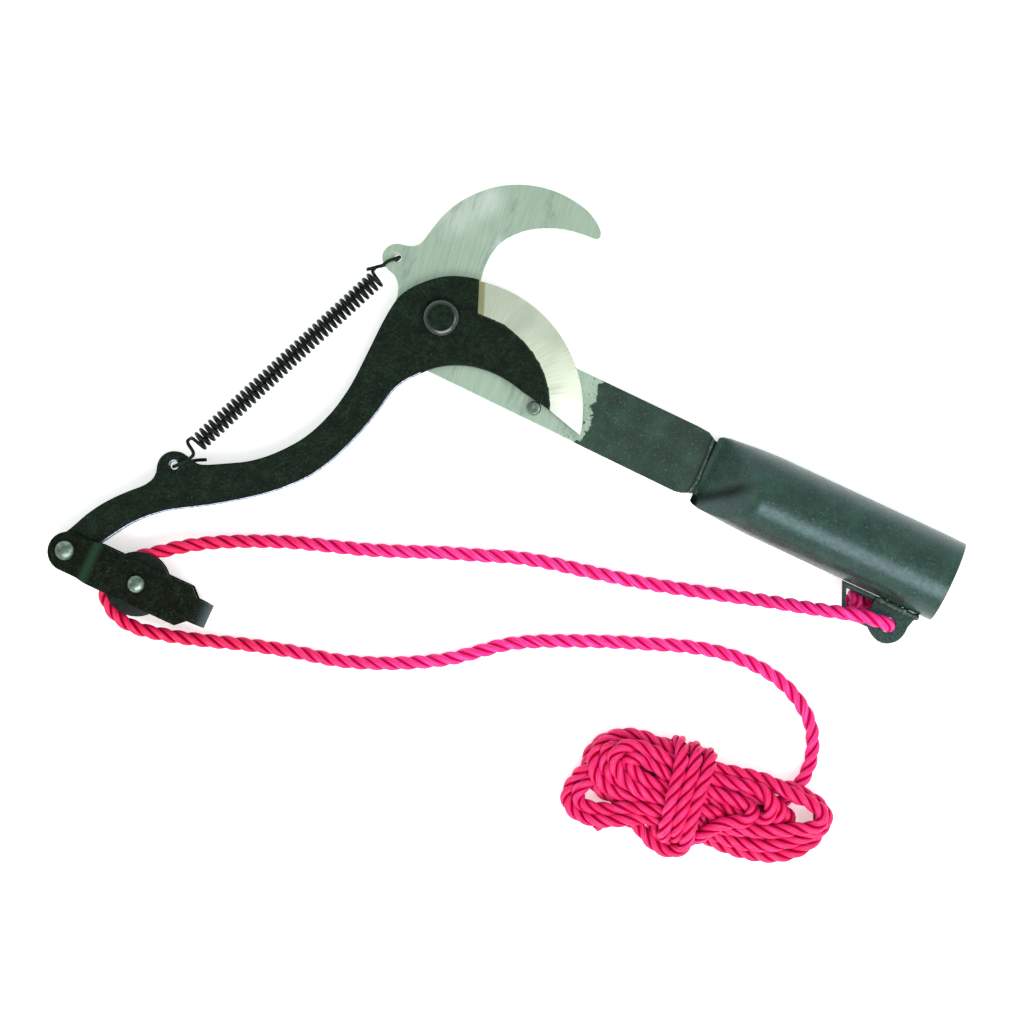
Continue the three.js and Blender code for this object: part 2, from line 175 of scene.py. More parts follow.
def ramp(tree, value, *stops):
    node = add(tree, "ShaderNodeValToRGB", {"Fac": value})
    elements = node.color_ramp.elements
    while len(elements) < len(stops):
        elements.new(0.5)
    for element, (at, code) in zip(elements, stops):
        element.position = at
        element.color = hex_colour(code)
    return node.outputs["Color"]


def span(tree, value, low, high, to_low=0.0, to_high=1.0):
    return add(tree, "ShaderNodeMapRange", {
        "Value": value, "From Min": low, "From Max": high, "To Min": to_low, "To Max": to_high},
        interpolation_type="SMOOTHSTEP").outputs["Result"]


def calc(tree, operation, first, second=0.0):
    return add(tree, "ShaderNodeMath", {0: first, 1: second}, operation=operation).outputs[0]


def blend_colour(tree, factor, first, second):
    node = add(tree, "ShaderNodeMix", data_type="RGBA")
    for index, value in ((0, factor), (6, first), (7, second)):
        put(node, index, value)
    return node.outputs[2]


def relief(tree, shader, height, depth_mm, strength=1.0):
    bump = add(tree, "ShaderNodeBump", {"Height": height, "Distance": depth_mm * MM, "Strength": strength})
    put(shader, "Normal", bump.outputs["Normal"])


def grinding(tree, coords, turn_degrees, pitch_mm, length_mm):
    """Fine parallel scratches: noise stretched along the grinding direction."""
    turned_coords = add(tree, "ShaderNodeMapping", {
        "Vector": coords, "Rotation": (0, 0, -math.radians(turn_degrees))}).outputs["Vector"]
    mapped = add(tree, "ShaderNodeMapping", {
        "Vector": turned_coords,
        "Scale": (1000 / length_mm, 1000 / pitch_mm, 1000 / length_mm)}).outputs["Vector"]
    return add(tree, "ShaderNodeTexNoise", {
        "Vector": mapped, "Scale": 1.0, "Detail": 4.0, "Roughness": 0.7}).outputs["Fac"]


def oxide_look(tree, coords, low="#050a06", middle="#0c180e", high="#192b1d"):
    """Colour, roughness and height of a black hammered forging."""
    grain = noise(tree, coords, 1.1, 4, 0.65)
    blotch = calc(tree, "ADD", calc(tree, "MULTIPLY", noise(tree, coords, 6, 5, 0.7), 0.5),
                  calc(tree, "MULTIPLY", grain, 0.5))
    hammer = noise(tree, coords, 2.6, 3, 0.5)
    pits = noise(tree, coords, 0.9, 3, 0.6)
    colour = ramp(tree, blotch, (0.36, low), (0.5, middle), (0.64, high))
    worn = span(tree, pits, 0.60, 0.74)
    colour = blend_colour(tree, worn, colour, hex_colour("#2a3f30"))
    rough = span(tree, hammer, 0.3, 0.7, 0.34, 0.52)
    height = calc(tree, "ADD", calc(tree, "MULTIPLY", hammer, 1.0), calc(tree, "MULTIPLY", pits, 0.45))
    return colour, rough, height


def black_oxide_forging():
    """Forged steel with black oxide and oil: near black, hammered, with soft lights on the lumps."""
    material, tree, shader = new_material("black oxide forging")
    coords = object_coords(tree)
    colour, rough, height = oxide_look(tree, coords)
    put(shader, "Base Color", colour)
    put(shader, "Roughness", rough)
    put(shader, "IOR", 1.18)
    relief(tree, shader, height, 0.6)
    return material


def strap_oxide():
    """Folded strap, black oxide: darker than the forging, with a painted highlight across its joggle and a
    painted reflection lightening its fold.
    """
    material, tree, shader = new_material("black oxide strap")
    coords = object_coords(tree)
    colour, rough, height = oxide_look(tree, coords, "#040502", "#0b1008", "#172414")
    x, _, _ = split(tree, coords)
    joggle = calc(tree, "ABSOLUTE", calc(tree, "SUBTRACT", x, (STRAP_JOGGLE + PIVOT[0]) * MM))
    # Painted highlight: a lighter green band across the joggle, where the bent bar catches the light.
    joggle_highlight = span(tree, joggle, 0.0, 3.6 * MM, 0.5, 0.0)
    colour = blend_colour(tree, joggle_highlight, colour, hex_colour("#2c4a35"))
    # Painted reflection: the fold's end lightened to blue grey, standing in for light reflected on its curve.
    fold = span(tree, x, (STRAP_FOLD + PIVOT[0]) * MM, (STRAP_FOLD + 5 + PIVOT[0]) * MM)
    colour = blend_colour(tree, fold, colour, hex_colour("#3c4b50"))
    put(shader, "Base Color", colour)
    put(shader, "Roughness", rough)
    put(shader, "IOR", 1.15)
    relief(tree, shader, height, 0.35)
    return material


def oiled_pin():
    """Turned pin head, black oxide and oil: dull in its middle, glinting on its rounded rim."""
    material, tree, shader = new_material("oiled black oxide pin")
    coords = object_coords(tree)
    stain = noise(tree, coords, 2.2, 4, 0.6)
    put(shader, "Base Color", ramp(tree, stain, (0.35, "#050d07"), (0.65, "#14271a")))
    put(shader, "Roughness", span(tree, stain, 0.3, 0.7, 0.14, 0.24))
    put(shader, "IOR", 1.42)
    x, y, _ = split(tree, coords)
    from_middle = add(tree, "ShaderNodeVectorMath", {0: in_plan(tree, x, y), 1: tuple(place((0, 0, 0)))},
                      operation="DISTANCE").outputs["Value"]
    put(shader, "Specular IOR Level", span(tree, from_middle, 5.2 * MM, 6.0 * MM, 0.2, 1.0))
    relief(tree, shader, stain, 0.05, 0.5)
    return material


def edge_reflection_paint():
    """Painted reflection: bright, pitted, bluish steel for the lever's rounded edge where it faces the light."""
    material, tree, shader = new_material("painted edge reflection")
    coords = object_coords(tree)
    edge_speckle = noise(tree, coords, 0.9, 3, 0.6)
    put(shader, "Base Color", ramp(tree, edge_speckle, (0.3, "#545b6b"), (0.5, "#8f97ae"), (0.7, "#c6cce2")))
    put(shader, "Metallic", 1.0)
    put(shader, "Roughness", 0.4)
    relief(tree, shader, edge_speckle, 0.08, 0.7)
    return material


def ground_bevel():
    """Ground edge of a carbon steel blade: bright, with grinding lines, and dark scale along its root."""
    material, tree, shader = new_material("ground steel bevel")
    coords = object_coords(tree)
    centre = place((*BLADE_CENTRE, 0))
    moved = add(tree, "ShaderNodeVectorMath", {0: coords, 1: tuple(centre)}, operation="SUBTRACT").outputs[0]
    x, y, _ = split(tree, moved)
    angle = calc(tree, "ARCTAN2", y, x)
    radius = add(tree, "ShaderNodeVectorMath", {0: in_plan(tree, x, y)}, operation="LENGTH").outputs["Value"]
    polar = in_plan(tree, calc(tree, "MULTIPLY", radius, 60.0), calc(tree, "MULTIPLY", angle, 190.0))
    lines = add(tree, "ShaderNodeTexNoise", {"Vector": polar, "Scale": 1.0, "Detail": 4.0,
                                             "Roughness": 0.65}).outputs["Fac"]
    wide = noise(tree, coords, 14, 2)
    colour = ramp(tree, lines, (0.3, "#bcc2ac"), (0.5, "#cfd6c3"), (0.7, "#dde3d4"))
    # Painted shade: the bevel darkened to grey towards its tip, toning down the key light's reflection there.
    tip = span(tree, angle, 0.30, 0.72, 0.9, 0.0)
    colour = blend_colour(tree, tip, colour, hex_colour("#b2b5b3"))
    shoulder = calc(tree, "ADD", x, calc(tree, "MULTIPLY", y, SHOULDER_LEAN))
    tint = span(tree, shoulder, SHOULDER_TINT_END * MM, (SHOULDER_TINT_END - 1.2) * MM)
    colour = blend_colour(tree, calc(tree, "MULTIPLY", tint, 0.8), colour, hex_colour("#9a9468"))
    wave = calc(tree, "MULTIPLY", noise(tree, coords, 3.2, 3, 0.6), 1.9 * MM)
    inner = BLADE_RADIUS - BEVEL_WIDTH
    scale = span(tree, calc(tree, "SUBTRACT", radius, wave), (inner - 0.35) * MM, (inner - 0.05) * MM)
    colour = blend_colour(tree, scale, hex_colour("#12241a"), colour)
    put(shader, "Base Color", colour)
    put(shader, "Metallic", scale)
    put(shader, "Roughness", span(tree, wide, 0.3, 0.7, 0.34, 0.46))
    put(shader, "Specular IOR Level", 0.2)
    relief(tree, shader, lines, 0.02, 0.6)
    return material


def enamel_colours(tree, coords):
    blotch = noise(tree, coords, 9, 4, 0.6)
    fleck = noise(tree, coords, 0.8, 2, 0.5)
    colour = ramp(tree, blotch, (0.3, "#15261e"), (0.5, "#1c3227"), (0.7, "#263f32"))
    return blend_colour(tree, span(tree, fleck, 0.60, 0.74), colour, hex_colour("#455a50"))


def surface_ground_plate():
    """Bare carbon steel plate, surface ground, with three painted highlights; black paint with a ragged,
    spattered edge on its tang.
    """
    material, tree, shader = new_material("surface ground steel, painted tang")
    coords = object_coords(tree)
    x, _, _ = split(tree, coords)
    lines = grinding(tree, coords, 99, 0.45, 14)
    broad = grinding(tree, coords, 92, 7, 26)
    steel = ramp(tree, lines, (0.25, "#a4b9a5"), (0.5, "#b2c7b4"), (0.75, "#c2d5c4"))
    steel = blend_colour(tree, span(tree, broad, 0.5, 0.72), steel, hex_colour("#95a99c"))
    # Painted highlights: near-white pools blended onto the bare steel round three fixed spots, broken up by the
    # grinding.
    for spot, reach_mm in (((-13, 43), 15), ((-5, 53), 12), ((7.4, 37), 7)):
        away = add(tree, "ShaderNodeVectorMath", {0: coords, 1: tuple(place((*spot, PLATE_HIGH)))},
                   operation="DISTANCE").outputs["Value"]
        painted_highlight = calc(tree, "MULTIPLY", span(tree, away, 0.0, reach_mm * MM, 1.0, 0.0),
                    span(tree, broad, 0.25, 0.7, 1.0, 0.25))
        steel = blend_colour(tree, calc(tree, "MULTIPLY", painted_highlight, 0.8), steel, hex_colour("#f3faf5"))
    ragged = calc(tree, "MULTIPLY", calc(tree, "SUBTRACT", noise(tree, coords, 6, 5, 0.65), 0.5), 0.018)
    reach = calc(tree, "ADD", x, ragged)
    edge = (PAINT_EDGE + PIVOT[0]) * MM
    painted = span(tree, reach, edge - 0.0006, edge + 0.0006)
    specks = span(tree, noise(tree, coords, 1.1, 3, 0.5), 0.62, 0.66)
    near = span(tree, x, edge - 0.018, edge)
    painted = calc(tree, "MAXIMUM", painted, calc(tree, "MULTIPLY", specks, near))
    colour = blend_colour(tree, painted, steel, enamel_colours(tree, coords))
    put(shader, "Base Color", colour)
    put(shader, "Metallic", calc(tree, "SUBTRACT", 1.0, painted))
    put(shader, "Roughness", span(tree, painted, 0, 1, 0.36, 0.42))
    height = calc(tree, "ADD", calc(tree, "MULTIPLY", lines, 0.12), calc(tree, "MULTIPLY", painted, 1.0))
    put(shader, "Specular IOR Level", 0.3)
    relief(tree, shader, height, 0.06, 0.8)
    return material


def gloss_enamel():
    """Black stove enamel on tube: glossy, with orange peel and dust, and painted shade along the pressed crease.
    """
    material, tree, shader = new_material("gloss black stove enamel")
    coords = object_coords(tree)
    colour = enamel_colours(tree, coords)
    x, y, _ = split(tree, coords)
    run_x, run_y = CREASE_RUN
    start = place((*CREASE_START, 0))
    off_line = calc(tree, "SUBTRACT", calc(tree, "MULTIPLY", y, run_x), calc(tree, "MULTIPLY", x, run_y))
    beside = calc(tree, "ABSOLUTE", calc(tree, "ADD", off_line, run_y * start.x - run_x * start.y))
    fades, ends = [(at + PIVOT[0]) * MM for at in CREASE_FADES]
    # Painted shade: the enamel darkened and made less reflective in a band beside the pressed crease, fading
    # towards the rear.
    crease_shade = calc(tree, "MULTIPLY", span(tree, beside, 0.0, 4.2 * MM, 0.85, 0.0),
                  span(tree, x, fades, ends, 1.0, 0.0))
    colour = blend_colour(tree, crease_shade, colour, hex_colour("#050a08"))
    put(shader, "Base Color", colour)
    put(shader, "Specular IOR Level", calc(tree, "SUBTRACT", 0.5, calc(tree, "MULTIPLY", crease_shade, 0.42)))
    peel = noise(tree, coords, 1.6, 2, 0.5)
    dust = noise(tree, coords, 0.5, 2, 0.5)
    put(shader, "Roughness", span(tree, peel, 0.3, 0.7, 0.24, 0.36))
    put(shader, "IOR", 1.56)
    put(shader, "Specular Tint", hex_colour("#cbe6f4"))
    height = calc(tree, "ADD", peel, calc(tree, "MULTIPLY", dust, 0.4))
    relief(tree, shader, height, 0.05, 0.8)
    return material


def bright_zinc():
    """Bright zinc plate on upset rivet heads: silver grey with small dents and dull patches."""
    material, tree, shader = new_material("bright zinc plate")
    coords = object_coords(tree)
    patch = noise(tree, coords, 2.2, 4, 0.6)
    colour = ramp(tree, patch, (0.3, "#4f5c52"), (0.55, "#75847a"), (0.75, "#a2afa3"))
    put(shader, "Base Color", colour)
    put(shader, "Metallic", 1.0)
    put(shader, "Roughness", span(tree, patch, 0.3, 0.7, 0.42, 0.28))
    relief(tree, shader, noise(tree, coords, 1.0, 3, 0.5), 0.05, 0.7)
    return material


def music_wire():
    """Oiled black music wire: dark and smooth with thin bright lines along each coil."""
    material, tree, shader = new_material("oiled music wire")
    coords = object_coords(tree)
    stain = noise(tree, coords, 3, 3)
    put(shader, "Base Color", ramp(tree, stain, (0.35, "#040806"), (0.7, "#0c1a12")))
    put(shader, "Roughness", 0.28)
    put(shader, "IOR", 1.24)
    return material


def wheel_paint():
    """Black paint on a pressed steel wheel, dulled where the rope has run."""
    material, tree, shader = new_material("black wheel paint")
    coords = object_coords(tree)
    scuff = noise(tree, coords, 1.8, 4, 0.6)
    put(shader, "Base Color", ramp(tree, scuff, (0.4, "#080d09"), (0.7, "#18211b")))
    put(shader, "IOR", 1.25)
    put(shader, "Roughness", span(tree, scuff, 0.3, 0.7, 0.35, 0.55))
    relief(tree, shader, scuff, 0.04, 0.6)
    return material


def weld_skin():
    """Weld bead painted over: dark, wavy and glossy on its ripples."""
    material, tree, shader = new_material("painted weld bead")
    coords = object_coords(tree)
    scale = noise(tree, coords, 1.4, 4, 0.6)
    put(shader, "Base Color", ramp(tree, scale, (0.35, "#1a2a22"), (0.6, "#2c4036"), (0.8, "#7c9388")))
    put(shader, "Roughness", span(tree, scale, 0.3, 0.7, 0.3, 0.5))
    relief(tree, shader, scale, 0.12, 0.8)
    return material


def laid_polypropylene():
    """Three-strand laid polypropylene: pink-red yarns, painted pinker on the runs where more light falls, and
    painted shade in dark red between the strands.
    """
    material, tree, shader = new_material("laid polypropylene rope")
    uv = add(tree, "ShaderNodeUVMap", uv_map="lay").outputs["UV"]
    along_rope, round_rope, _ = split(tree, uv)
    strand = calc(tree, "FRACT", calc(tree, "MULTIPLY", round_rope, 3.0))
    across = calc(tree, "MULTIPLY", calc(tree, "ABSOLUTE", calc(tree, "SUBTRACT", strand, 0.5)), 2.0)
    yarn = in_plan(tree, calc(tree, "MULTIPLY", along_rope, 90.0), calc(
        tree, "ADD", calc(tree, "MULTIPLY", round_rope, 42.0), calc(tree, "MULTIPLY", along_rope, 260.0)))
    fibre = add(tree, "ShaderNodeTexNoise", {"Vector": yarn, "Scale": 1.0, "Detail": 2.0,
                                             "Roughness": 0.6}).outputs["Fac"]
    # Painted light: the upper and lower runs coloured pinker than the wheel turn and the hank, as where more
    # light falls.
    upper_run = span(tree, along_rope, 0.20, 0.31, 1.0, 0.0)
    lower_run = calc(tree, "MULTIPLY", span(tree, along_rope, 0.40, 0.52),
                     span(tree, along_rope, 0.62, 0.74, 1.0, 0.28))
    painted_light_on_runs = calc(tree, "ADD", upper_run, lower_run)
    red = ramp(tree, fibre, (0.3, "#c00730"), (0.5, "#e00f4a"), (0.7, "#f93a86"))
    pink = ramp(tree, fibre, (0.3, "#e01058"), (0.5, "#f41f82"), (0.7, "#ff62ca"))
    crest = blend_colour(tree, painted_light_on_runs, red, pink)
    # Painted shade: dark red in the creases between the strands, where less light reaches, with less shine and
    # sheen there.
    deep = blend_colour(tree, painted_light_on_runs, hex_colour("#86001a"), hex_colour("#b80438"))
    crease_shade = span(tree, across, 0.46, 1.0)
    colour = blend_colour(tree, crease_shade, crest, deep)
    put(shader, "Base Color", colour)
    put(shader, "Specular IOR Level", span(tree, crease_shade, 0.0, 0.8, 0.5, 0.0))
    put(shader, "Sheen Weight", span(tree, crease_shade, 0.0, 0.8, 0.22, 0.0))
    put(shader, "Roughness", 0.36)
    put(shader, "IOR", 1.34)
    put(shader, "Sheen Roughness", 0.3)
    put(shader, "Sheen Tint", hex_colour("#ff58e0"))
    relief(tree, shader, fibre, 0.30, 1.0)
    return material


def studio_floor():
    material, tree, shader = new_material("white studio floor")
    put(shader, "Base Color", hex_colour("#fdfdfd"))
    put(shader, "Roughness", 0.9)
    put(shader, "Emission Color", hex_colour("#ffffff"))
    put(shader, "Emission Strength", 0.42)
    return material


# ---------------------------------------------------------------- mesh helpers
def mesh_piece(name, verts, faces, material):
    mesh = bpy.data.meshes.new(name)
    mesh.from_pydata([tuple(v) for v in verts], [], faces)
    piece = bpy.data.objects.new(name, mesh)
    scene.collection.objects.link(piece)
    mesh.materials.append(material)
    return piece


def tidy_mesh(piece, merge_mm=0.01):
    """Doubles merged and faces turned outwards."""
    work = bmesh.new()
    work.from_mesh(piece.data)
    bmesh.ops.remove_doubles(work, verts=work.verts, dist=merge_mm * MM)
    bmesh.ops.recalc_face_normals(work, faces=work.faces)
    work.to_mesh(piece.data)
    work.free()


def shade(piece, sharp_degrees=32):
    for polygon in piece.data.polygons:
        polygon.use_smooth = True
    piece.data.set_sharp_from_angle(angle=math.radians(sharp_degrees))


def settled(piece):
    """The piece with its modifiers applied to its mesh."""
    bpy.context.view_layer.update()
    graph = bpy.context.evaluated_depsgraph_get()
    mesh = bpy.data.meshes.new_from_object(piece.evaluated_get(graph), depsgraph=graph)
    name = piece.name
    bpy.data.objects.remove(piece)
    mesh.name = name
    fresh = bpy.data.objects.new(name, mesh)
    scene.collection.objects.link(fresh)
    return fresh


def belongs(piece, body, node):
    """The piece rides its body and stands for its CAD node."""
    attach(piece, body)
    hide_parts(node)


def flat_normals(piece):
    piece.modifiers.new("normals", "WEIGHTED_NORMAL").keep_sharp = True
    return settled(piece)


def plate(name, rings, low, high, material, edge=0.25, steps=2):
    """Flat piece cut to its outline and holes, with its edges rounded by edge."""
    data = bpy.data.curves.new(name, "CURVE")
    data.dimensions = "2D"
    data.fill_mode = "BOTH"
    for ring in rings:
        spline = data.splines.new("POLY")
        spline.points.add(len(ring) - 1)
        for point, (x, y) in zip(spline.points, ring):
            point.co = (*place((x, y, 0))[:2], 0, 1)
        spline.use_cyclic_u = True
    data.extrude = ((high - low) / 2 - edge) * MM
    data.bevel_depth = edge * MM
    data.bevel_resolution = steps
    data.offset = -edge * MM
    outline = bpy.data.objects.new(name, data)
    scene.collection.objects.link(outline)
    piece = settled(outline)
    piece.data.transform(Matrix.Translation((0, 0, (low + high) / 2 * MM)))
    piece.data.materials.clear()
    piece.data.materials.append(material)
    tidy_mesh(piece, 0.004)
    return piece


def combined(piece, other, operation):
    """Boolean of two solids; the other one's faces keep their material index."""
    tool = piece.modifiers.new("tool", "BOOLEAN")
    tool.operation = operation
    tool.solver = "EXACT"
    tool.object = other
    result = settled(piece)
    bpy.data.objects.remove(other)
    return result


def turned(name, centre, profile, material, segments=72, sharp=32):
    """Turned piece about an upright axis, from (radius, height) pairs."""
    verts, rows = [], []
    for radius, height in profile:
        if radius < 1e-6:
            rows.append([len(verts)] * segments)
            verts.append(place((*centre, height)))
            continue
        rows.append(list(range(len(verts), len(verts) + segments)))
        for i in range(segments):
            angle = 2 * math.pi * i / segments
            x, y = centre[0] + radius * math.cos(angle), centre[1] + radius * math.sin(angle)
            verts.append(place((x, y, height)))
    faces = []
    for lower, upper in zip(rows, rows[1:]):
        for i in range(segments):
            j = (i + 1) % segments
            corners = [lower[i], lower[j], upper[j], upper[i]]
            faces.append([c for k, c in enumerate(corners) if c not in corners[:k]])
    piece = mesh_piece(name, verts, [f for f in faces if len(f) > 2], material)
    tidy_mesh(piece)
    shade(piece, sharp)
    return piece


def smooth(points, samples):
    """Points of a smooth curve through the given ones."""
    points = [np.array(p, float) for p in points]
    last = len(points) - 1
    result = []
    for k in range(samples + 1):
        reached = last * k / samples
        i = min(int(reached), last)
        t = reached - i
        p0, p1 = points[max(i - 1, 0)], points[i]
        p2, p3 = points[min(i + 1, last)], points[min(i + 2, last)]
        v0, v1 = (p2 - p0) / 2, (p3 - p1) / 2
        cubic, square = 2 * p1 - 2 * p2 + v0 + v1, -3 * p1 + 3 * p2 - 2 * v0 - v1
        result.append(cubic * t ** 3 + square * t * t + v0 * t + p1)
    return result


def arc(centre, radius, start, stop, samples):
    angles = np.radians(np.linspace(start, stop, samples + 1))
    return [np.array((centre[0] + radius * math.cos(a), centre[1] + radius * math.sin(a))) for a in angles]


def ring_of(*stretches):
    """One closed outline from its stretches, without repeated points."""
    points = []
    for stretch in stretches:
        for p in stretch:
            if not points or math.dist(p, points[-1]) > 0.04:
                points.append((float(p[0]), float(p[1])))
    if math.dist(points[0], points[-1]) < 0.04:
        points.pop()
    return points


def hole(centre, radius, samples=48):
    return ring_of(arc(centre, radius, 0, 360, samples)[:-1])


# ---------------------------------------------------------------- geometry nodes
def node_tree(name, inputs):
    tree = bpy.data.node_groups.new(name, "GeometryNodeTree")
    tree.interface.new_socket("Geometry", in_out="INPUT", socket_type="NodeSocketGeometry")
    tree.interface.new_socket("Geometry", in_out="OUTPUT", socket_type="NodeSocketGeometry")
    for label, kind in inputs:
        tree.interface.new_socket(label, in_out="INPUT", socket_type=kind)
    return tree, add(tree, "NodeGroupInput"), add(tree, "NodeGroupOutput")


def end_tree(tree, geometry, material, out):
    real = add(tree, "GeometryNodeRealizeInstances", {"Geometry": geometry})
    skinned = add(tree, "GeometryNodeSetMaterial", {"Geometry": real.outputs[0], "Material": material})
    put(out, 0, skinned.outputs[0])


def wire_tree():
    """Round wire carried along a line."""
    tree, given, out = node_tree("wire along a line", [
        ("Wire radius", "NodeSocketFloat"), ("Sides", "NodeSocketInt"), ("Finish", "NodeSocketMaterial")])
    line = add(tree, "GeometryNodeMeshToCurve", {"Mesh": given.outputs["Geometry"]})
    section = add(tree, "GeometryNodeCurvePrimitiveCircle", {
        "Resolution": given.outputs["Sides"], "Radius": given.outputs["Wire radius"]})
    swept = add(tree, "GeometryNodeCurveToMesh", {
        "Curve": line.outputs[0], "Profile Curve": section.outputs[0], "Fill Caps": True})
    end_tree(tree, swept.outputs[0], given.outputs["Finish"], out)
    return tree


def bead_tree():
    """Overlapping weld ripples along a line."""
    tree, given, out = node_tree("weld ripples along a line", [
        ("Bead radius", "NodeSocketFloat"), ("Ripple spacing", "NodeSocketFloat"), ("Seed", "NodeSocketInt"),
        ("Finish", "NodeSocketMaterial")])
    line = add(tree, "GeometryNodeMeshToCurve", {"Mesh": given.outputs["Geometry"]})
    spots = add(tree, "GeometryNodeResampleCurve", {
        "Curve": line.outputs[0], "Length": given.outputs["Ripple spacing"]}, mode="LENGTH")
    ball = add(tree, "GeometryNodeMeshIcoSphere", {"Radius": given.outputs["Bead radius"], "Subdivisions": 3})
    size = add(tree, "FunctionNodeRandomValue", {
        0: (0.75, 0.75, 0.75), 1: (1.15, 1.1, 1.05), "Seed": given.outputs["Seed"]}, data_type="FLOAT_VECTOR")
    tangent = add(tree, "GeometryNodeInputTangent")
    turn = add(tree, "FunctionNodeAlignEulerToVector", {"Vector": tangent.outputs[0]}, axis="X")
    ripples = add(tree, "GeometryNodeInstanceOnPoints", {
        "Points": spots.outputs[0], "Instance": ball.outputs[0], "Rotation": turn.outputs[0],
        "Scale": size.outputs[0]})
    end_tree(tree, ripples.outputs[0], given.outputs["Finish"], out)
    return tree


def grown(name, line, tree, values):
    """A plain mesh grown by a node tree along a line of points in metres."""
    mesh = bpy.data.meshes.new(name)
    mesh.from_pydata([tuple(p) for p in line], [(i, i + 1) for i in range(len(line) - 1)], [])
    carrier = bpy.data.objects.new(name, mesh)
    scene.collection.objects.link(carrier)
    nodes = carrier.modifiers.new("grow", "NODES")
    nodes.node_group = tree
    for item in tree.interface.items_tree:
        if item.item_type == "SOCKET" and item.in_out == "INPUT" and item.name in values:
            nodes[item.identifier] = values[item.name]
    piece = settled(carrier)
    tidy_mesh(piece, 0.0005)
    return piece


# ---------------------------------------------------------------- rope
ROPE_ROUTE = [
    (220.8, -37, 14.2), (221.2, -37, 19.5), (219.4, -37.1, 23.8), (213.4, -37.6, 25.8),
    (205.2, -39.4, 24.8), (197.4, -41.7, 22), (187.6, -44.7, 17), (175.6, -48.1, 11.4),
    (163.6, -51.8, 6.8), (150.6, -55.9, 4.1), (138.6, -59.5, 3.1), (125.6, -63.2, 3.1),
    (112.6, -66.5, 3.1), (98.6, -69.7, 3.1), (84.6, -72.8, 3.1), (70.6, -76.7, 3.1), (56.3, -82.3, 3.1),
    (40.5, -88.4, 3.1), (25.4, -94.9, 3.1), (10.2, -101, 3.1), (-4.9, -106.2, 3.1), (-20, -111.7, 3.1),
    (-35, -118.4, 3.9), (-48, -125.2, 6), (-58.6, -132.1, 8.3), (-64.6, -136.8, 9.1),
    (-70.6, -141.6, 9.4), (-76.2, -146.6, 9.4), (-79.7, -153.4, 9.4), (-79.1, -160.9, 9.4),
    (-74.2, -166.5, 9.4), (-67, -169.5, 9.4), (-59.6, -169.8, 9.1), (-51.5, -168.3, 8),
    (-43.5, -166.3, 6.2), (-33, -163, 4.1), (-16.7, -157.3, 3.1), (2.2, -151.7, 3.1), (21.1, -147, 3.1),
    (35.2, -141.7, 3.1), (49.4, -134.8, 3.1), (62.7, -126.8, 3.1), (72.2, -119.2, 3.1),
    (81.1, -111.8, 3.1), (91.7, -105.4, 3.1), (105.7, -98.6, 3.1), (121.7, -91.6, 3.1), (135.7, -86, 3.1),
    (149.7, -80.6, 3.1), (163.7, -76.8, 3.1), (177.7, -75.4, 3.1), (190.7, -76.8, 3.1),
    (201.2, -80.8, 3.1), (210.5, -87.8, 3.1), (215.7, -96.8, 3.1), (217.5, -105.2, 4),
    (216.9, -112.8, 5.5),
]
TURN_START, TURN_END = 22, 36

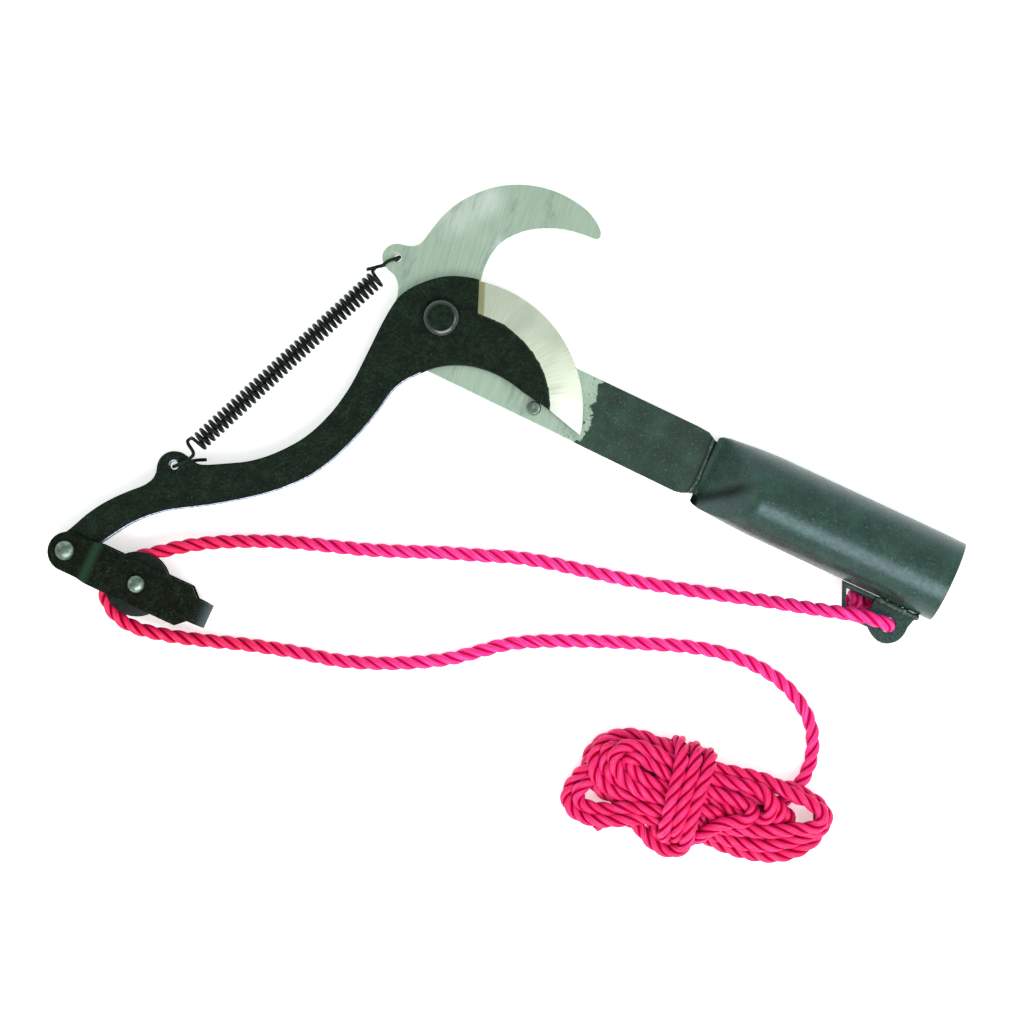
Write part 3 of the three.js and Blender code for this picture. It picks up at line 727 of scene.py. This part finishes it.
# The hank, wound by hand: long loops first, then three wraps round its waist, then the bare end
HANK_ROUTE = [
    (216.9, -112.8, 5.5), (214, -120, 5), (209, -127, 3.2), (200, -134, 3.2), (187, -139, 3.2),
    # outer loop
    (173, -143, 3.2), (157, -149, 3.2), (142, -149.5, 3.2), (133.5, -143, 3.2), (132.5, -133, 3.2),
    (138, -125, 3.2), (150, -121.5, 3.2), (173, -123, 4), (196, -119.5, 3.2), (214, -117.5, 3.2),
    (228, -118, 3.2), (233, -126, 3.2), (230, -137, 3.2), (221, -145, 3.2), (205, -149.5, 3.2),
    (189, -149, 3.2),
    # second loop, at the lower left
    (173, -149, 8), (160, -153.5, 8), (147, -161.5, 5), (137, -163, 4), (131, -158.5, 4),
    (131.6, -150, 6), (136, -141, 8), (144, -131, 8), (157, -126, 8), (173, -125.5, 8), (195, -122.5, 8),
    (213, -115.6, 8), (227, -116.4, 8), (234, -122.5, 8), (229, -131, 8), (218, -140, 8),
    (203, -145.5, 7), (188, -146, 7),
    # third loop
    (173, -145, 8), (160, -149.5, 9), (149, -156.5, 9), (140, -158.8, 7), (134, -154.5, 7),
    (135.5, -146.5, 9), (140, -138, 10), (147, -132.5, 9), (158, -131.5, 8), (173, -131, 8),
    (190, -127.5, 8), (206, -123.5, 9), (218.5, -126, 10), (218, -134.5, 9), (206, -140.5, 8),
    (189, -142.5, 8),
    # fourth loop, the wide one on top of the left lobe
    (173, -139, 9), (159, -144, 11), (146, -146.5, 12), (136.8, -142, 12), (133.8, -134, 12),
    (137, -126.5, 12), (147, -121.5, 12), (160, -121, 11), (173, -122.5, 10), (190, -119, 11),
    (205, -116.2, 12), (219, -116.5, 13), (230, -119, 13), (231.6, -124.4, 13), (224, -129.5, 13),
    (211, -136, 13), (198, -140.5, 12), (186, -141, 11), (172, -136.5, 9), (158, -139.5, 12),
    (146, -143, 14), (138.2, -138.5, 14), (137.6, -130.4, 14), (143.6, -125.4, 14), (157, -124.6, 12),
    (173, -128, 10), (189, -126, 10), (202, -123, 12), (213, -124.6, 13), (214.5, -131.4, 12),
    (206, -137, 11), (189, -139, 10),
    # nested loops inside it
    (172, -140, 11), (158, -141.5, 14), (147, -139.5, 16), (140.4, -134, 17), (141.8, -127.8, 17),
    (150, -125.6, 16), (162, -125.5, 13), (174, -126, 11), (190, -124, 12), (203, -121, 14),
    (210, -124, 15), (210.4, -131, 14), (203, -135.5, 12), (190, -136, 11), (176, -135, 11),
    (163, -137.5, 14), (152, -136.5, 17), (145.8, -132, 18), (149.5, -128.6, 18), (159, -129, 15),
    (173, -130.5, 12), (188, -129.5, 13), (199, -128.5, 14), (204.5, -130.5, 14), (203.6, -134.6, 15),
    (198, -138, 15), (192, -143, 14), (187.5, -149, 12), (184, -154.5, 9), (178.4, -158.4, 5),
    (171.6, -156.4, 3.2), (167.6, -149, 3.1), (165.4, -138, 3.1), (163, -124, 3.1), (162.2, -116.9, 6.5),
    # three wraps round the waist
    (163.4, -115.9, 12), (165.6, -119.5, 17), (168.6, -129, 19.5), (171.4, -140, 19.5), (174, -150, 17),
    (175.2, -155.6, 11), (174.4, -155, 5), (172.4, -147, 3.1), (170.4, -134, 3.1), (169.4, -122, 3.1),
    (169.4, -116.4, 7), (170.6, -115.5, 12.5), (172, -119.5, 17.5), (173.8, -130, 19.5),
    (176, -141, 19.5), (178, -149.5, 17), (179.4, -154.6, 11), (179.2, -153.6, 5), (178, -146, 3.1),
    (176.6, -134, 3.1), (175.8, -122, 3.1), (176, -116.6, 7), (177.4, -115.8, 12.5), (178.4, -120, 17.5),
    (179, -130, 19.5), (180, -141, 19.5), (181.6, -149, 17), (184, -154.5, 11), (183.4, -158.4, 6),
    (177.6, -160.6, 3.4), (169, -158.6, 3.1), (160, -156.2, 3.1), (152.4, -157, 3.1),
    (148.2, -160.6, 3.1), (146.8, -165.2, 3.1),
]
HANK_WRAPS_FROM = 0.80
HANK_MIDDLE, HANK_ACROSS, HANK_SQUEEZE = np.array((183, -139)), np.array((-0.4226, 0.9063)), 0.05


def centripetal(points, per_span):
    """Dense points of the centripetal Catmull-Rom curve through points, per_span to each span."""
    points = [np.array(p, float) for p in points]
    count = len(points)
    result = []
    for i in range(count - 1):
        p1, p2 = points[i], points[i + 1]
        p0 = points[i - 1] if i else 2 * p1 - p2
        p3 = points[i + 2] if i + 2 < count else 2 * p2 - p1
        d0, d1, d2 = [max(np.linalg.norm(b - a) ** 0.5, 1e-4) for a, b in ((p0, p1), (p1, p2), (p2, p3))]
        t1 = ((p1 - p0) / d0 - (p2 - p0) / (d0 + d1) + (p2 - p1) / d1) * d1
        t2 = ((p2 - p1) / d1 - (p3 - p1) / (d1 + d2) + (p3 - p2) / d2) * d1
        for k in range(per_span):
            t = k / per_span
            result.append(p1 + t1 * t + (-3 * p1 + 3 * p2 - 2 * t1 - t2) * t * t
                          + (2 * p1 - 2 * p2 + t1 + t2) * t ** 3)
    result.append(points[-1])
    return np.array(result)


def along(points, step):
    """The line resampled to equal steps, with the distance to each new point."""
    distance = np.concatenate([[0], np.cumsum(np.linalg.norm(np.diff(points, axis=0), axis=1))])
    count = max(2, round(distance[-1] / step) + 1)
    wanted = np.linspace(0, distance[-1], count)
    return np.stack([np.interp(wanted, distance, points[:, k]) for k in range(3)], axis=1)


def packed(line, rounds=160, apart=5.6, step=3.0, sink=0.06):
    """The wound rope settled: turns press each other apart, sink to the floor and keep their length."""
    start = line.copy()
    line = line.copy()
    count = len(line)
    index = np.arange(count)
    near = np.abs(index[:, None] - index[None, :]) <= 4
    hold = np.where(index > count * HANK_WRAPS_FROM, 0.16, 0.09)[:, None] * (1, 1, 0.5)
    for _ in range(rounds):
        gap = line[:, None, :] - line[None, :, :]
        far = np.sqrt((gap ** 2).sum(axis=2)) + 1e-9
        push = np.where(near | (far > apart), 0, (apart - far) / far)
        line += 0.32 * (push[:, :, None] * gap).sum(axis=1).clip(-1.6, 1.6)
        line[:, 2] -= sink
        line += hold * (start - line)
        middle = (line[:-2] + line[2:]) / 2 - line[1:-1]
        line[1:-1] += 0.10 * middle
        for _ in range(3):
            edge = line[1:] - line[:-1]
            length = np.linalg.norm(edge, axis=1)[:, None]
            move = edge * (1 - step / length) * 0.4
            line[:-1] += move
            line[1:] -= move
        line[:, 2] = line[:, 2].clip(3.1, 22.0)
        line[:2] = start[:2]
    return line


def rope_frames(line):
    """Two directions square to the rope at each point, which turn as little as they can."""
    tangent = np.gradient(line, axis=0)
    tangent /= np.linalg.norm(tangent, axis=1)[:, None]
    side = np.zeros_like(line)
    first = np.cross(tangent[0], (0, 0, 1.0))
    if np.linalg.norm(first) < 0.2:
        first = np.cross(tangent[0], (0, 1.0, 0))
    side[0] = first / np.linalg.norm(first)
    for i in range(1, len(line)):
        turned_side = side[i - 1] - tangent[i] * np.dot(side[i - 1], tangent[i])
        side[i] = turned_side / np.linalg.norm(turned_side)
    return side, np.cross(tangent, side)


STRAND_POINTS = 8
STRAND_OUT, STRAND_RADIUS = 1.36, 1.66
SECTION = 3 * STRAND_POINTS


def rope_section():
    """Radius round the rope: three round strands, each filling a third of the turn."""
    radii = []
    for k in range(SECTION):
        off = ((k / STRAND_POINTS) % 1 - 0.5) * math.radians(120)
        beside = STRAND_OUT * math.sin(off)
        radii.append(STRAND_OUT * math.cos(off) + math.sqrt(STRAND_RADIUS ** 2 - beside ** 2))
    return np.array(radii)


def rope_piece(name, line, side, up, first, last, material, step):
    """Laid rope between two rings of the whole line."""
    radii = rope_section()
    angles = 2 * math.pi * np.arange(SECTION) / SECTION
    rings = []
    for i in range(first, last + 1):
        twist = 2 * math.pi * i * step / ROPE_LAY
        across = np.cos(angles + twist)[:, None] * side[i] + np.sin(angles + twist)[:, None] * up[i]
        rings.append(line[i] + across * radii[:, None])
    count = len(rings)
    verts = in_metres(np.concatenate(rings + [line[first:first + 1], line[last:last + 1]]))
    faces, coords = [], []
    for r in range(count - 1):
        u0, u1 = (first + r) * step * MM, (first + r + 1) * step * MM
        for k in range(SECTION):
            n = (k + 1) % SECTION
            faces.append((r * SECTION + k, r * SECTION + n, (r + 1) * SECTION + n, (r + 1) * SECTION + k))
            v0, v1 = k / SECTION, (k + 1) / SECTION
            coords += [(u0, v0), (u0, v1), (u1, v1), (u1, v0)]
    start, stop = count * SECTION, count * SECTION + 1
    for k in range(SECTION):
        n = (k + 1) % SECTION
        faces.append((start, n, k))
        faces.append((stop, (count - 1) * SECTION + k, (count - 1) * SECTION + n))
        for at in (first, last):
            coords += [(at * step * MM, (k + 0.5) / SECTION)] * 3
    piece = mesh_piece(name, verts, faces, material)
    layer = piece.data.uv_layers.new(name="lay")
    layer.data.foreach_set("uv", np.array(coords, "f").ravel())
    shade(piece, 75)
    return piece, in_metres(line[first:last + 1])


def make_rope(material):
    """The whole rope on one line, cut into the stretches that move with different bodies."""
    step = 1.1
    free = centripetal(ROPE_ROUTE, 40)
    marks = [0, TURN_START * 40, TURN_END * 40, len(free) - 1]
    reach = np.concatenate([[0], np.cumsum(np.linalg.norm(np.diff(free, axis=0), axis=1))])
    hank = packed(along(centripetal(HANK_ROUTE, 24), 3.0))
    squeeze = HANK_SQUEEZE * np.clip(np.arange(len(hank)) / 12, 0, 1)
    off_middle = (hank[:, :2] - HANK_MIDDLE) @ HANK_ACROSS
    hank[:, :2] -= (squeeze * off_middle)[:, None] * HANK_ACROSS
    hank = centripetal(hank, 6)
    whole = np.concatenate([free, hank[4:]])
    line = along(whole, step)
    for _ in range(3):
        line[1:-1] += 0.25 * (line[:-2] + line[2:] - 2 * line[1:-1])
    total = np.concatenate([[0], np.cumsum(np.linalg.norm(np.diff(whole, axis=0), axis=1))])[-1]
    real_step = total / (len(line) - 1)
    cuts = [round(reach[m] / real_step) for m in marks] + [len(line) - 1]
    side, up = rope_frames(line)
    names = ["rope_upper_laid", "rope_turn_laid", "rope_lower_laid", "rope_hank_laid"]
    nodes = ["rope_upper_run", "rope_pulley_turn", "rope_lower_run", "rope_hank"]
    made = []
    for name, node, first, last in zip(names, nodes, cuts, cuts[1:]):
        piece, path = rope_piece(name, line, side, up, first, last, material, real_step)
        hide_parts(node)
        made.append((piece, path))
    return made


KNOT_ROUTE = [
    (220.8, -37, 14.2), (220.9, -37, 10.6), (219.2, -36.2, 7.0), (214.6, -34.4, 5.2), (208.6, -32.6, 5.2),
    (204.6, -32.4, 6.4), (203.2, -34.6, 9.4), (205.0, -37.2, 12.2), (208.4, -37.6, 12.8),
    (213.4, -35.6, 12.2), (214.4, -32.4, 9.8), (211.6, -31.8, 6.6), (209.4, -35.6, 4.0),
    (207.0, -39.2, 6.0), (205.4, -38.0, 9.8), (205.4, -33.6, 12.9), (203.8, -32.3, 12.2),
    (203.4, -32.6, 9.8),
]


def make_knot(material):
    """Stopper knot under the lug, of the same laid rope."""
    line = along(centripetal(KNOT_ROUTE, 20), 1.0)
    side, up = rope_frames(line)
    piece, path = rope_piece("rope_knot_tied", line, side, up, 0, len(line) - 1, material, 1.0)
    belongs(piece, "head", "rope_knot")
    return piece


def declare_rope(made, knot):
    (upper, upper_path), (turn, turn_path), (lower, lower_path), (hank, hank_path) = made
    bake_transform(upper)
    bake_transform(turn)
    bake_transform(lower)
    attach(hank, "head")


# ---------------------------------------------------------------- metal pieces
def make_hook_plate(material):
    mouth = smooth([
        (61, 5.2), (45, 5.4), (32, 5.8), (22, 7.6), (14.6, 11.6), (10.4, 16.5), (8.3, 21.2), (7.3, 29),
        (8.2, 36), (10.6, 41.4), (15.3, 46.8), (21, 50.9), (28, 54.2), (35, 56), (41, 56.7), (44.2, 57)], 110)
    tip = smooth([(44.2, 57), (45.5, 57.9), (45.6, 59.2), (45, 60.8)], 12)
    back = smooth([
        (45, 60.8), (41.5, 63.8), (35, 66.8), (24.5, 68.2), (15, 67.3), (6.5, 64.6), (-1.5, 60.2),
        (-8, 54.5), (-13.5, 47.5), (-17, 40.5), (-18.9, 34), (-20.2, 27.5)], 90)
    lug = smooth([
        (-20.2, 27.5), (-21.4, 24.2), (-24, 22.2), (-27, 21.3), (-29.7, 20.7), (-32.5, 18.4), (-33.6, 14.8),
        (-32.3, 11.5), (-29.2, 9.4), (-25.2, 8.1), (-22.2, 5.2), (-20.6, 1)], 72)
    heel = smooth([(-20.6, 1), (-19.5, -6), (-16, -13), (-10, -18.5), (-2, -21.6), (4.5, -22.2)], 30)
    tang = [(118, -24), (121, -23.4), (124.8, -21.6), (149, -21.6), (149, 2.2), (124.8, 2.2), (121, 4.3),
            (116, 4.7), (61, 5.2)]
    holes = [hole((0, 0), 4.3), hole(STOP_PIN, 2.3), hole((-27.0, 15.4), 1.75)]
    rings = [ring_of(mouth, tip, back, lug, heel, tang)] + holes
    piece = plate("hook_plate_ground", rings, PLATE_LOW, PLATE_HIGH, material, 0.22)
    shade(piece)
    piece = flat_normals(piece)
    belongs(piece, "head", "hook_plate")


def make_lever(forging, bevel, edge_reflection):
    crown = smooth([
        (7.5, 21.2), (3, 20.2), (-3, 18), (-8, 15), (-12.5, 11), (-16.5, 6.4), (-19.3, 1.5), (-20.5, -3.5),
        (-21.3, -12), (-21.6, -25), (-22, -38), (-22.9, -46), (-24.6, -54), (-27.5, -62.5), (-31, -69.5),
        (-35.5, -75.8), (-41, -82), (-47.5, -87.5), (-55, -92), (-61.5, -95.6), (-65.5, -97.2),
        (-69, -97)], 130)
    lug = smooth([
        (-69, -97), (-71.5, -96.2), (-75, -96), (-78.6, -97.6), (-80.8, -100.8), (-81.1, -104.2),
        (-80.2, -107.5)], 36)
    shin = smooth([
        (-80.2, -107.5), (-80.3, -110.8), (-82.5, -114.8), (-86.5, -119), (-91, -124), (-95.5, -130),
        (-99.2, -136.5), (-102.3, -143.5), (-105.3, -148.7)], 40)
    end = arc(SWIVEL, 6.6, 140, 342, 30)
    inside = smooth([
        (-91.5, -149.5), (-88.2, -144), (-84, -137), (-80, -131.1), (-75, -125.5), (-69, -120.3),
        (-62, -115.8), (-54, -110.8), (-45, -104.5), (-36, -97.5), (-28, -90), (-21, -81.5), (-16, -72.5),
        (-12, -62.5), (-9, -53), (-7, -44.5), (-5.4, -36), (-2.6, -30), (1, -25.5), (5, -21), (9, -17.8),
        (14, -15), (20, -12.8), (27, -11.6), (33, -11.6), (39, -12.3), (44, -13.5), (50, -14.3),
        (57, -15.6)], 150)
    edge = arc(BLADE_CENTRE, BLADE_RADIUS, 13.2, 103, 90)
    holes = [hole((0, 0), 6.3), hole(SWIVEL, 2.8), hole((-74.5, -102), 1.8)]
    rings = [ring_of(crown, lug, shin, end, inside, edge)] + holes
    piece = plate("blade_lever_forged", rings, LEVER_LOW, LEVER_HIGH, forging, 0.55, 3)
    piece.data.materials.append(bevel)
    piece.data.materials.append(edge_reflection)
    # Painted reflection: the rounded edge faces on the lever's low side that turn towards the key light get the
    # bright edge material.
    low_side = place((0, -24, 0)).y
    for polygon in piece.data.polygons:
        across = Vector(polygon.normal[:2])
        if 0.03 < polygon.normal.z < 0.985 and polygon.center.y < low_side and across.dot((0.7, -0.7)) > 0.12:
            polygon.material_index = 2

    inner, reach = BLADE_RADIUS - BEVEL_WIDTH, BLADE_RADIUS + 6
    low = LEVER_HIGH - (LEVER_HIGH - LEVER_LOW - EDGE_THICK) * (reach - inner) / BEVEL_WIDTH
    above = LEVER_HIGH + 2
    cone = turned("cone", BLADE_CENTRE, [
        (inner, LEVER_HIGH), (reach, low), (reach, above), (inner, above), (inner, LEVER_HIGH)], bevel, 360)
    side = [(7.4, 21.6), (13, 8.2), (13, -60), (90, -60), (90, 60), (-9, 60)]
    keep = plate("keep", [side], LEVER_LOW - 5, LEVER_HIGH + 5, bevel, 0.0, 0)
    cutter = combined(cone, keep, "INTERSECT")
    cutter.data.materials.clear()
    cutter.data.materials.append(forging)
    cutter.data.materials.append(bevel)
    for polygon in cutter.data.polygons:
        polygon.material_index = 1
    piece = combined(piece, cutter, "DIFFERENCE")
    tidy_mesh(piece, 0.003)
    shade(piece, 28)
    piece = flat_normals(piece)
    belongs(piece, "lever", "blade_lever")


def make_pins(gloss, zinc):
    head = LEVER_HIGH + 0.3
    dome = [(7.7, head), (7.78, head + 0.8), (7.7, head + 1.8), (7.45, head + 2.6), (7.1, head + 3.1),
            (6.7, head + 3.42), (6.3, head + 3.65), (5.9, head + 3.82), (5.5, head + 3.94),
            (5.0, head + 4.02),
            (4.2, head + 4.06), (0, head + 4.0)]
    pin = turned("pivot_pin_forged", (0, 0), [
        (0, 0), (4.8, 0), (5.6, 0.5), (5.5, 1), (4, 1), (4, head)] + dome, gloss)
    belongs(pin, "head", "pivot_pin")

    stop = turned("stop_pin_plated", STOP_PIN, [
        (0, 1.4), (2.3, 1.4), (2.8, 1.9), (2.8, 2.3), (2, 2.3), (2, 6.9), (3, 6.9), (3, 10.8), (2.85, 11.2),
        (2.5, 11.55), (2.0, 11.7), (1.2, 11.75), (0.5, 11.65), (0, 11.6)], zinc, 48)
    belongs(stop, "head", "stop_pin")

    for name, node, body, centre, face, radius, height, tail in (
            ("swivel_rivet_domed", "swivel_rivet", "lever", SWIVEL, 4.8, 4.2, 2.9, 2.2),
            ("axle_rivet_domed", "pulley_axle_rivet", "bracket", AXLE, 7.5, 3.75, 2.6, 1.6)):
        top, foot = MIDDLE + face + 0.3, MIDDLE - face - 0.3
        profile = [(0, foot - tail), (radius * 0.6, foot - tail), (radius * 0.85, foot - tail * 0.8),
                   (radius * 0.92, foot - tail / 2), (radius * 0.92, foot),
                   (2.5, foot), (2.5, top), (radius, top)]
        for k in range(1, 13):
            angle = math.radians(90 * k / 12)
            out = radius * math.cos(angle) ** 0.85 if k < 12 else 0
            profile.append((out, top + 0.3 + (height - 0.3) * math.sin(angle)))
        rivet = turned(name, centre, profile, zinc, 56)
        belongs(rivet, body, node)


def make_strap(forging):
    """Flat bar folded into a U round the wheel and joggled in to the lever's thickness."""
    def side(offset, radius):
        nose = 2.8 + offset
        half = 5.5 + offset
        return ([(-110, nose), (-92.5 + offset * 0.3, nose), (-87 - offset * 0.3, half)]
                + [tuple(p) for p in arc((-42.5, 0), radius, 90, -90, 32)]
                + [(-87 - offset * 0.3, -half), (-92.5 + offset * 0.3, -nose), (-110, -nose)])
    outline = ring_of(side(2, 7.5), side(0, 5.5)[::-1])
    fold = plate("strap_fold", [outline], -12, 12, forging, 0.0, 0)
    mid_y = PIVOT[1] * MM
    fold.data.transform(Matrix.Translation((0, -mid_y, 0)))
    fold.data.transform(Matrix.Rotation(math.pi / 2, 4, "X"))
    fold.data.transform(Matrix.Translation((0, mid_y + AXLE[1] * MM, MIDDLE * MM)))
    y = AXLE[1]
    nose = arc((SWIVEL[0] + 1.1, y), 8.3, 270, 90, 36)
    rim = [(-92, y + 8.3), (-87.5, y + 8.9), (-46.2, y + 8.9), (-42.2, y + 5.1), (-34, y + 5.1), (-34, y - 5.1),
           (-42.2, y - 5.1), (-46.2, y - 8.9), (-87.5, y - 8.9), (-92, y - 8.3)]
    rings = [ring_of(nose, rim), hole(SWIVEL, 2.8), hole(AXLE, 2.8)]
    plan = plate("strap_plan", rings, 0, MIDDLE * 2, forging, 0.0, 0)
    piece = combined(fold, plan, "INTERSECT")
    piece.name = "bracket_strap_folded"
    tidy_mesh(piece, 0.01)
    work = bmesh.new()
    work.from_mesh(piece.data)
    bmesh.ops.dissolve_limit(work, angle_limit=math.radians(1), verts=work.verts, edges=work.edges)
    work.to_mesh(piece.data)
    work.free()
    bevel = piece.modifiers.new("rounded", "BEVEL")
    bevel.width = 0.35 * MM
    bevel.segments = 3
    bevel.limit_method = "ANGLE"
    bevel.angle_limit = math.radians(40)
    piece = settled(piece)
    shade(piece)
    piece = flat_normals(piece)
    belongs(piece, "bracket", "bracket_strap")


def make_wheel(paint):
    flank = [(13.5, 3.8), (12.4, 3.75), (11, 3.5), (9.4, 2.9), (8.2, 2.2), (7.3, 1.4), (6.7, 0.7), (6.4, 0)]
    profile = ([(4.3, -4.6), (12.9, -4.6), (13.35, -4.4), (13.5, -4.0)] + [(r, -z) for r, z in flank]
               + flank[-2::-1] + [(13.5, 4.0), (13.35, 4.4), (12.9, 4.6), (4.3, 4.6), (4.3, -4.6)])
    wheel = turned("pulley_wheel_pressed", AXLE, [(r, z + MIDDLE) for r, z in profile], paint, 96)
    belongs(wheel, "pulley", "pulley_wheel")


def soft_least(first, second, width):
    """The lower of two heights, rounded where they meet."""
    mix = max(width - abs(first - second), 0) / width
    return min(first, second) - mix * mix * width / 4


def socket_ring(x, count):
    """The pole socket's outside at a station: round to the rear, pressed down on the tang at its front."""
    pressed = 1 - min(max((x - SOCKET_FRONT) / (SOCKET_ROUND - SOCKET_FRONT), 0), 1)
    eased = pressed * pressed * (3 - 2 * pressed)
    widths = ((125.6, 14.4), (127, 15.3), (130, 16.0), (135, 16.4), (142, 17.0), (152, 17.5), (236, 17.5))
    half = float(np.interp(x, *zip(*widths)))
    centre = SOCKET_RADIUS + (8.6 - SOCKET_RADIUS) * eased
    below = SOCKET_RADIUS + (8.0 - SOCKET_RADIUS) * eased
    above = SOCKET_RADIUS + (9.0 - SOCKET_RADIUS) * eased
    squareness = 1 - 0.45 * eased
    facet = 8.9 + 1.22 * max(x - 127.2, 0) - 0.5 * max(127.2 - x, 0)
    points = []
    for i in range(count):
        angle = 2 * math.pi * i / count
        across = math.copysign(abs(math.cos(angle)) ** squareness, math.cos(angle))
        up = math.copysign(abs(math.sin(angle)) ** squareness, math.sin(angle))
        z = centre + up * (above if up > 0 else below)
        y = SOCKET_Y + across * half
        if up > 0:
            z = soft_least(z, facet + 0.22 * (y - SOCKET_Y), 1.5)
        points.append((x, y, z))
    return points


def make_socket(enamel):
    count = 120
    front = [125.6, 125.9, 126.4, 127, 127.8, 128.8] + list(np.linspace(130, 158, 34))
    stations = front + list(np.linspace(160, 235.2, 24)) + [SOCKET_MOUTH - 0.3, SOCKET_MOUTH]
    rings = [socket_ring(x, count) for x in stations]
    wall_in = SOCKET_RADIUS - SOCKET_WALL

    def round_ring(x, radius):
        return [(x, SOCKET_Y + radius * math.cos(2 * math.pi * i / count),
                 SOCKET_RADIUS + radius * math.sin(2 * math.pi * i / count)) for i in range(count)]

    rings[-1] = round_ring(SOCKET_MOUTH, SOCKET_RADIUS - 0.35)
    rings += [round_ring(SOCKET_MOUTH, wall_in + 0.35), round_ring(SOCKET_MOUTH - 0.4, wall_in)]
    rings += [round_ring(x, wall_in) for x in np.linspace(230, SOCKET_ROUND, 14)]
    verts = [place(p) for ring in rings for p in ring]
    faces = []
    for r in range(len(rings) - 1):
        for i in range(count):
            j = (i + 1) % count
            faces.append((r * count + i, r * count + j, (r + 1) * count + j, (r + 1) * count + i))
    faces.append(tuple(range(count)))
    last = (len(rings) - 1) * count
    faces.append(tuple(reversed(range(last, last + count))))
    piece = mesh_piece("socket_tube_pressed", verts, faces, enamel)
    tidy_mesh(piece)
    shade(piece, 40)
    belongs(piece, "head", "socket_tube")


def make_rope_lug(enamel):
    outline = ring_of(
        [(196, -28.2), (231, -28.2), (229.6, -31.4), (228.8, -34.5)],
        smooth([(228.8, -34.5), (228.6, -38), (227.2, -41.5), (224, -44.2), (220.4, -44.9), (216.6, -43.6),
                (213.6, -41.4)], 36),
        [(206, -41.6), (200.8, -39)])
    window = [(198.7, -29.8), (202.1, -37.6), (211.6, -37.6), (211.6, -29.8)]
    piece = plate("rope_lug_pressed", [outline, window, hole((220.8, -37), 3.15)], 15.5, 18.5, enamel, 0.3)
    shade(piece)
    piece = flat_normals(piece)
    belongs(piece, "head", "rope_lug")


def make_spring(wire):
    """Open-wound extension spring, 40 coils of 1.5 mm wire, its ends bent to hooks."""
    top, foot = np.array((-31.1, 4.6, 6.9)), np.array((-69.8, -90, 9.4))
    axis = (foot - top) / np.linalg.norm(foot - top)
    span_mm = np.linalg.norm(foot - top)
    side = np.cross(axis, (0, 0, 1.0))
    side /= np.linalg.norm(side)
    up = np.cross(axis, side)
    turns, radius, per_turn = 40, 3.5, 20
    coil = []
    for k in range(turns * per_turn + 1):
        angle = 2 * math.pi * k / per_turn
        coil.append(top + axis * span_mm * k / (turns * per_turn)
                    + radius * (math.cos(angle) * side + math.sin(angle) * up))
    first, last = coil[0], coil[-1]
    upper = centripetal([
        (-36.6, 5.4, 8.8), (-33.6, 8.0, 7.4), (-30.6, 10.6, 4.6), (-28.2, 13.6, 1.8), (-27.0, 15.4, 1.5),
        (-26.7, 15.9, 3.4), (-26.8, 15.8, 6.4), (-27.8, 14.6, 8.1), (-30.0, 12.4, 8.3), (-31.6, 9.6, 8.8),
        tuple(first - axis * 2.4 + side * 0.1), tuple(first)], 8)
    lower = centripetal([
        tuple(last), tuple(last + axis * 2.2), (-69.2, -94.4, 12.2), (-70.6, -98.0, 13.2), (-73.2, -101.2, 13.0),
        (-74.4, -102.4, 11.2), (-74.6, -102.5, 8.0), (-74.2, -102.0, 5.8), (-71.6, -99.4, 5.2),
        (-67.6, -96.4, 6.2),
        (-63.7, -94.3, 7.6)], 8)
    line = in_metres(np.concatenate([upper[:-1], np.array(coil), lower[1:]]))
    piece = grown("return_spring_wound", line, wire_tree(), {
        "Wire radius": SPRING_WIRE_RADIUS * MM, "Sides": 10, "Finish": wire})
    shade(piece, 60)
    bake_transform(piece)
    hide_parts("return_spring")


def make_welds(skin):
    tree = bead_tree()
    for k, (name, node, line, radius, gap) in enumerate((
            ("socket_weld_bead", "socket_weld",
             [(123.9, 1.6, 7.2), (124.4, -4, 7.4), (124.6, -10, 7.5), (124.8, -16, 7.4), (124, -21.4, 7.2)],
             0.9, 0.9),
            ("socket_weld_bead_back", "socket_weld_back", [(124.2, 0.8, 1.6), (124.2, -20.4, 1.6)], 0.9, 1.1),
            ("rope_lug_weld_bead", "rope_lug_weld", [(213, -29.2, 19.4), (230, -29.2, 19.4)], 1.5, 1.1),
            ("rope_lug_weld_bead_back", "rope_lug_weld_back",
             [(198, -29.4, 14.4), (229, -29.4, 14.4)], 1.3, 1.1))):
        piece = grown(name, in_metres(line), tree, {
            "Bead radius": radius * MM, "Ripple spacing": gap * MM, "Seed": 11 + k, "Finish": skin})
        shade(piece, 60)
        belongs(piece, "head", node)


def paint_carried_nodes(zinc):
    """CAD pieces that stay: the washers and bushes beside the pivot and the wheel."""
    for name in ("pivot_washer", "pivot_bush", "pulley_bush", "pulley_washer_upper", "pulley_washer_lower"):
        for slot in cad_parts[name].material_slots:
            slot.link = "OBJECT"
            slot.material = zinc


def make_floor(material):
    floor = mesh_piece("floor", [(-4, -4, -0.0001), (4, -4, -0.0001), (4, 4, -0.0001), (-4, 4, -0.0001)],
                       [(0, 1, 2, 3)], material)


set_camera()
set_light()
make_floor(studio_floor())
rope = laid_polypropylene()
declare_rope(make_rope(rope), make_knot(rope))
forging, zinc, enamel = black_oxide_forging(), bright_zinc(), gloss_enamel()
make_hook_plate(surface_ground_plate())
make_lever(forging, ground_bevel(), edge_reflection_paint())
make_pins(oiled_pin(), zinc)
make_strap(strap_oxide())
make_wheel(wheel_paint())
make_socket(enamel)
make_rope_lug(enamel)
make_spring(music_wire())
make_welds(weld_skin())
paint_carried_nodes(zinc)
